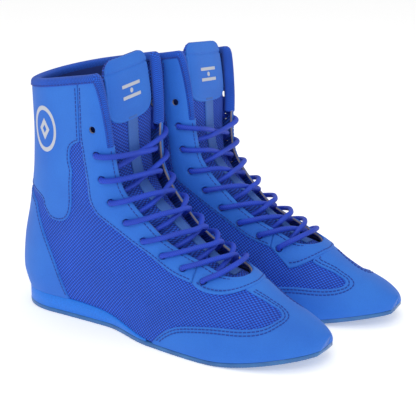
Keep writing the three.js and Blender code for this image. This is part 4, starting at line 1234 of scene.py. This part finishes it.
bar_line = eyelets[1][0][-1]
bar = [(bar_line, behind_gap(bar_line, -1, 2), over_edge + 0.8), (bar_line, 0, over_edge),
       (bar_line, behind_gap(bar_line, 1, 2), over_edge + 0.8)]
lace_points = skin(*np.array(lace_half(-1)[::-1] + bar + lace_half(1)).T)
run = running(lace_points)
lace_step, smoothings = 1.3, 3
even = np.arange(0, run[-1], lace_step)
lace_path = np.stack([smooth_curve(run, lace_points[:, k])(even) for k in range(3)], 1)
for _ in range(smoothings):
    lace_path[1:-1] = 0.25 * lace_path[:-2] + 0.5 * lace_path[1:-1] + 0.25 * lace_path[2:]


def carried_frames(points):
    """Directions across a free path, each carried on from the one before with no twist."""
    ahead = np.gradient(points, axis=0)
    ahead /= np.linalg.norm(ahead, axis=1, keepdims=True)
    across = np.zeros_like(ahead)
    current = np.array([0.0, 0.0, 1.0])
    for i, direction in enumerate(ahead):
        current = current - direction * current.dot(direction)
        current /= np.linalg.norm(current)
        across[i] = current
    return across, np.cross(ahead, across)


# Tightly braided polyester: smooth and matt, with a fine diamond of crossing strands.
braid, tree, shader = finish("braided_polyester_lace", Roughness=0.65, Sheen_Weight=0.05)
woven(tree, shader, "#1246CC", "#0E38B4", 1.6, 0.2, 0.25, 0.12)
across, up = carried_frames(lace_path)
round_cord = super_ring(lace_diameter, -lace_radius, lace_radius, 2, 18)
points, quads, uv = swept(*rounded_ends(lace_path, across, up, round_cord, 1.6))
for_both_boots("lace_braid", points, quads, braid, "lace_cord", ["lace"], uv=uv)

# ---- midsole and outsole ---------------------------------------------------------------------
# A moulded foam wedge under the heel runs out at the waist. Below it a thin translucent rubber
# sole is bonded on all round; its edge is notched by the tread. The insole and its board lie
# inside on the same outline.


toe_from, toe_last = 279.0, 279.9       # a sole reaching the first is closed round the toe
past_toe, wedge_end = 400.0, 150.0      # how far forward the whole sole and the wedge reach


def sole_loop(stop_x, spacing):
    """The outline of the feather line, heel to toe and back: its points, outward directions,
    how many are lateral and whether it goes round the toe. Both sides have the same lines."""
    b = np.unique(np.concatenate([np.linspace(heel_line, 1, 3000), heel_line + crowd, 1 - crowd]))
    edge = skin(b, -1.0)
    length = running(edge[:, :2])
    b = np.interp(np.arange(0, length[-1], spacing), length, b)
    closed = stop_x > toe_from
    b = np.append(b[end_x(b) < min(stop_x, toe_last)], 1.0 if closed else [])
    lateral, medial = skin(b, -1.0)[:, :2], skin(b, 1.0)[:, :2]
    back = medial[-2 if closed else -1:0:-1]
    loop = np.concatenate([lateral, back])
    ahead = np.roll(loop, -2, axis=0) - np.roll(loop, 2, axis=0)
    if not closed:
        ahead[len(b) - 2:len(b)] = ahead[len(b) - 3]
        ahead[len(b):len(b) + 2] = ahead[len(b) + 2]
    ahead /= np.maximum(np.linalg.norm(ahead, axis=1, keepdims=True), 1e-9)
    out = np.column_stack([ahead[:, 1], -ahead[:, 0]])
    if out[len(b) // 2, 1] > 0:
        out = -out
    return loop, out, len(b), closed


def sole_body(stop_x, spacing, rings, notch=None):
    """Rings of (outset, height above a base, base) round the sole outline, closed by strips."""
    loop, out, count, closed = sole_loop(stop_x, spacing)
    size = len(loop)
    run = running(loop)
    levels = []
    for index, (outset, height, base) in enumerate(rings):
        extra = notch(run) if notch is not None and index in (4, 5) else 0
        flat = loop + out * (np.full(size, outset) + extra)[:, None]
        levels.append(np.column_stack([flat, base(loop[:, 0]) + height]))
    i, j = np.meshgrid(np.arange(len(rings) - 1), np.arange(size), indexing="ij")
    k = (j + 1) % size
    a, b, c, d = [v.ravel() for v in (i * size + j, (i + 1) * size + j, (i + 1) * size + k,
                                      i * size + k)]
    faces = [np.stack([a, b, c], 1), np.stack([a, c, d], 1)]
    left = np.arange(1, count - (1 if closed else 0))
    right = size - left
    tips = [(0, left[0], right[0])] + ([(left[-1], count - 1, right[-1])] if closed else [])
    strip = np.concatenate([np.stack([left[:-1], left[1:], right[1:]], 1),
                            np.stack([left[:-1], right[1:], right[:-1]], 1), tips])
    faces += [strip, strip[:, ::-1] + (len(rings) - 1) * size]
    points = np.concatenate(levels)
    faces = np.concatenate(faces)
    corners = points[faces]
    volume = (corners[:, 0] * np.cross(corners[:, 1], corners[:, 2])).sum()
    return points, faces if volume > 0 else faces[:, ::-1]


# Moulded EVA: satin, with a very fine pebble from the mould.
eva, tree, shader = finish("moulded_eva_foam", Roughness=0.5)
pebble = noise(tree, 900.0)
surfaced(tree, shader, blended(tree, pebble[1].outputs[0], linear("#0470DC"), linear("#0880EE")),
         pebble[0].outputs[0], 0.15, 0.2)
wedge_rings = [(0.0, 0.15, feather_height), (0.7, -0.1, feather_height), (1.0, -0.5, feather_height),
               (1.0, 0.7, sole_top), (0.6, 0.3, sole_top), (0.0, 0.2, sole_top)]
points, faces = sole_body(wedge_end, 1.2, wedge_rings)
for_both_boots("midsole_eva_wedge", points, faces, eva, "midsole_foam", ["midsole"])

# Translucent rubber: a little darker and greener than the upper, satin, seen through slightly.
rubber, tree, shader = finish("translucent_rubber", Roughness=0.35, Coat_Weight=0.15,
                              Subsurface_Weight=0.15, Subsurface_Scale=0.004)
drift = noise(tree, 60.0)[1]
tree.links.new(blended(tree, drift.outputs[0], linear("#235F9E"), linear("#2F74B4")),
               shader.inputs["Base Color"])
notch_pitch, notch_depth = 2.3, 0.55
rubber_rings = [(-0.4, 0.45, sole_top), (0.9, 0.3, sole_top), (1.2, -0.3, sole_top),
                (1.25, 1.5, sole_bottom), (1.25, 1.1, sole_bottom), (1.0, 0.25, sole_bottom),
                (0.2, 0.0, sole_bottom)]


def tread_notch(run):
    """How far the tread's edge is cut back along the outline."""
    return -notch_depth * (np.sin(2 * math.pi * run / notch_pitch) > 0.2)


points, faces = sole_body(past_toe, 0.55, rubber_rings, notch=tread_notch)
for_both_boots("outsole_rubber_tread", points, faces, rubber, "outsole_rubber", ["outsole"])

board_inset, board_thickness, insole_thickness = -5.0, 1.6, 4.0
points, faces = sole_body(past_toe, 2.5, [(board_inset, board_thickness, feather_height),
                                          (board_inset, 0.0, feather_height)])
for_both_boots("insole_board_sheet", points, faces, fibre_board, "board", ["insole_board"])
insole_low, insole_toe_thickness = board_thickness + gap, 2.0
thins_from, thins_over = 220.0, 40.0


def insole_level(x):
    """The feather line, less what the insole loses under the toes."""
    thinned = (insole_thickness - insole_toe_thickness) * step((x - thins_from) / thins_over)
    return feather_height(x) - thinned


insole_rings = [(board_inset - 3.5, insole_low + insole_thickness - 0.3, insole_level),
                (board_inset - 1.4, insole_low + insole_thickness, insole_level),
                (board_inset - 0.4, insole_low + insole_thickness - 0.6, insole_level),
                (board_inset - 0.4, insole_low, feather_height)]
points, faces = sole_body(past_toe, 2.0, insole_rings)
for piece in for_both_boots("insole_cloth_top", points, faces, lining_knit, "insole_foam",
                            ["insole"], uv=unrolled(points)):
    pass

# ---- printed marks ---------------------------------------------------------------------------
# Plain heat-transfer prints of a general kind: a ring round a diamond on each lateral collar
# panel, and two bars with a dot between them on each tongue patch.

# Heat-transfer film: pale silver grey, smooth, slightly metallic.
print_film, _, _ = finish("silver_transfer_film", Base_Color=linear("#C3C7D2"), Roughness=0.42,
                          Metallic=0.25)


def patch_grid(width, height, pitch):
    """A flat grid of points around zero, with triangles."""
    x = np.arange(-width / 2, width / 2 + pitch, pitch)
    y = np.arange(-height / 2, height / 2 + pitch, pitch)
    flat = np.stack(np.meshgrid(x, y, indexing="ij"), -1).reshape(-1, 2)
    return flat, grid_triangles(len(x), len(y))


ring_centre, ring_half, line_width = np.array([50.0, 161.0]), np.array([12.5, 18.0]), 2.4
flat, faces = patch_grid(30, 42, 0.5)
around = np.linalg.norm(flat / ring_half, axis=1)
ring_depth = line_width / 2 - np.abs(around - 0.92) * ring_half[0]
diamond = 6.5 - np.abs(flat[:, 0]) * 1.15 - np.abs(flat[:, 1]) * 0.75
hollow = np.maximum(np.abs(flat[:, 0]) * 1.15 + np.abs(flat[:, 1]) * 0.75 - 2.6, ring_depth)
depth = np.maximum(ring_depth, np.minimum(diamond, hollow))
flat, faces = cut(flat, depth, faces)
b, g = locate(-1, flat + ring_centre, [0, 2])
points, faces, _ = slab(skin(b, g, overlay_top + 0.12), skin(b, g, overlay_top - 0.1), faces)
corners = points[faces[:, 0]], points[faces[:, 1]], points[faces[:, 2]]
if np.cross(corners[1] - corners[0], corners[2] - corners[0])[:10, 1].sum() > 0:
    faces = faces[:, ::-1]
for_both_boots("collar_panel_print", points, faces, print_film, "microfibre")

flat, faces = patch_grid(26, 14, 0.45)
bars = np.minimum(11.5 - np.abs(flat[:, 0]), 1.3 - np.abs(np.abs(flat[:, 1]) - 4.4))
dot = 1.9 - np.linalg.norm(flat, axis=1)
flat, faces = cut(flat, np.maximum(bars, dot), faces)
b = np.interp(flat[:, 1] + 27.0, from_top(np.linspace(0, 0.3, 400)), np.linspace(0, 0.3, 400))
g = flat[:, 0] / np.where(flat[:, 0] < 0, girth(b, -1), girth(b, 1))
points, faces, _ = slab(on_tongue(b, g, tab_high + 0.95), on_tongue(b, g, tab_high + 0.6), faces)
for_both_boots("tongue_tab_print", points, faces, print_film, "microfibre", body="tongue")
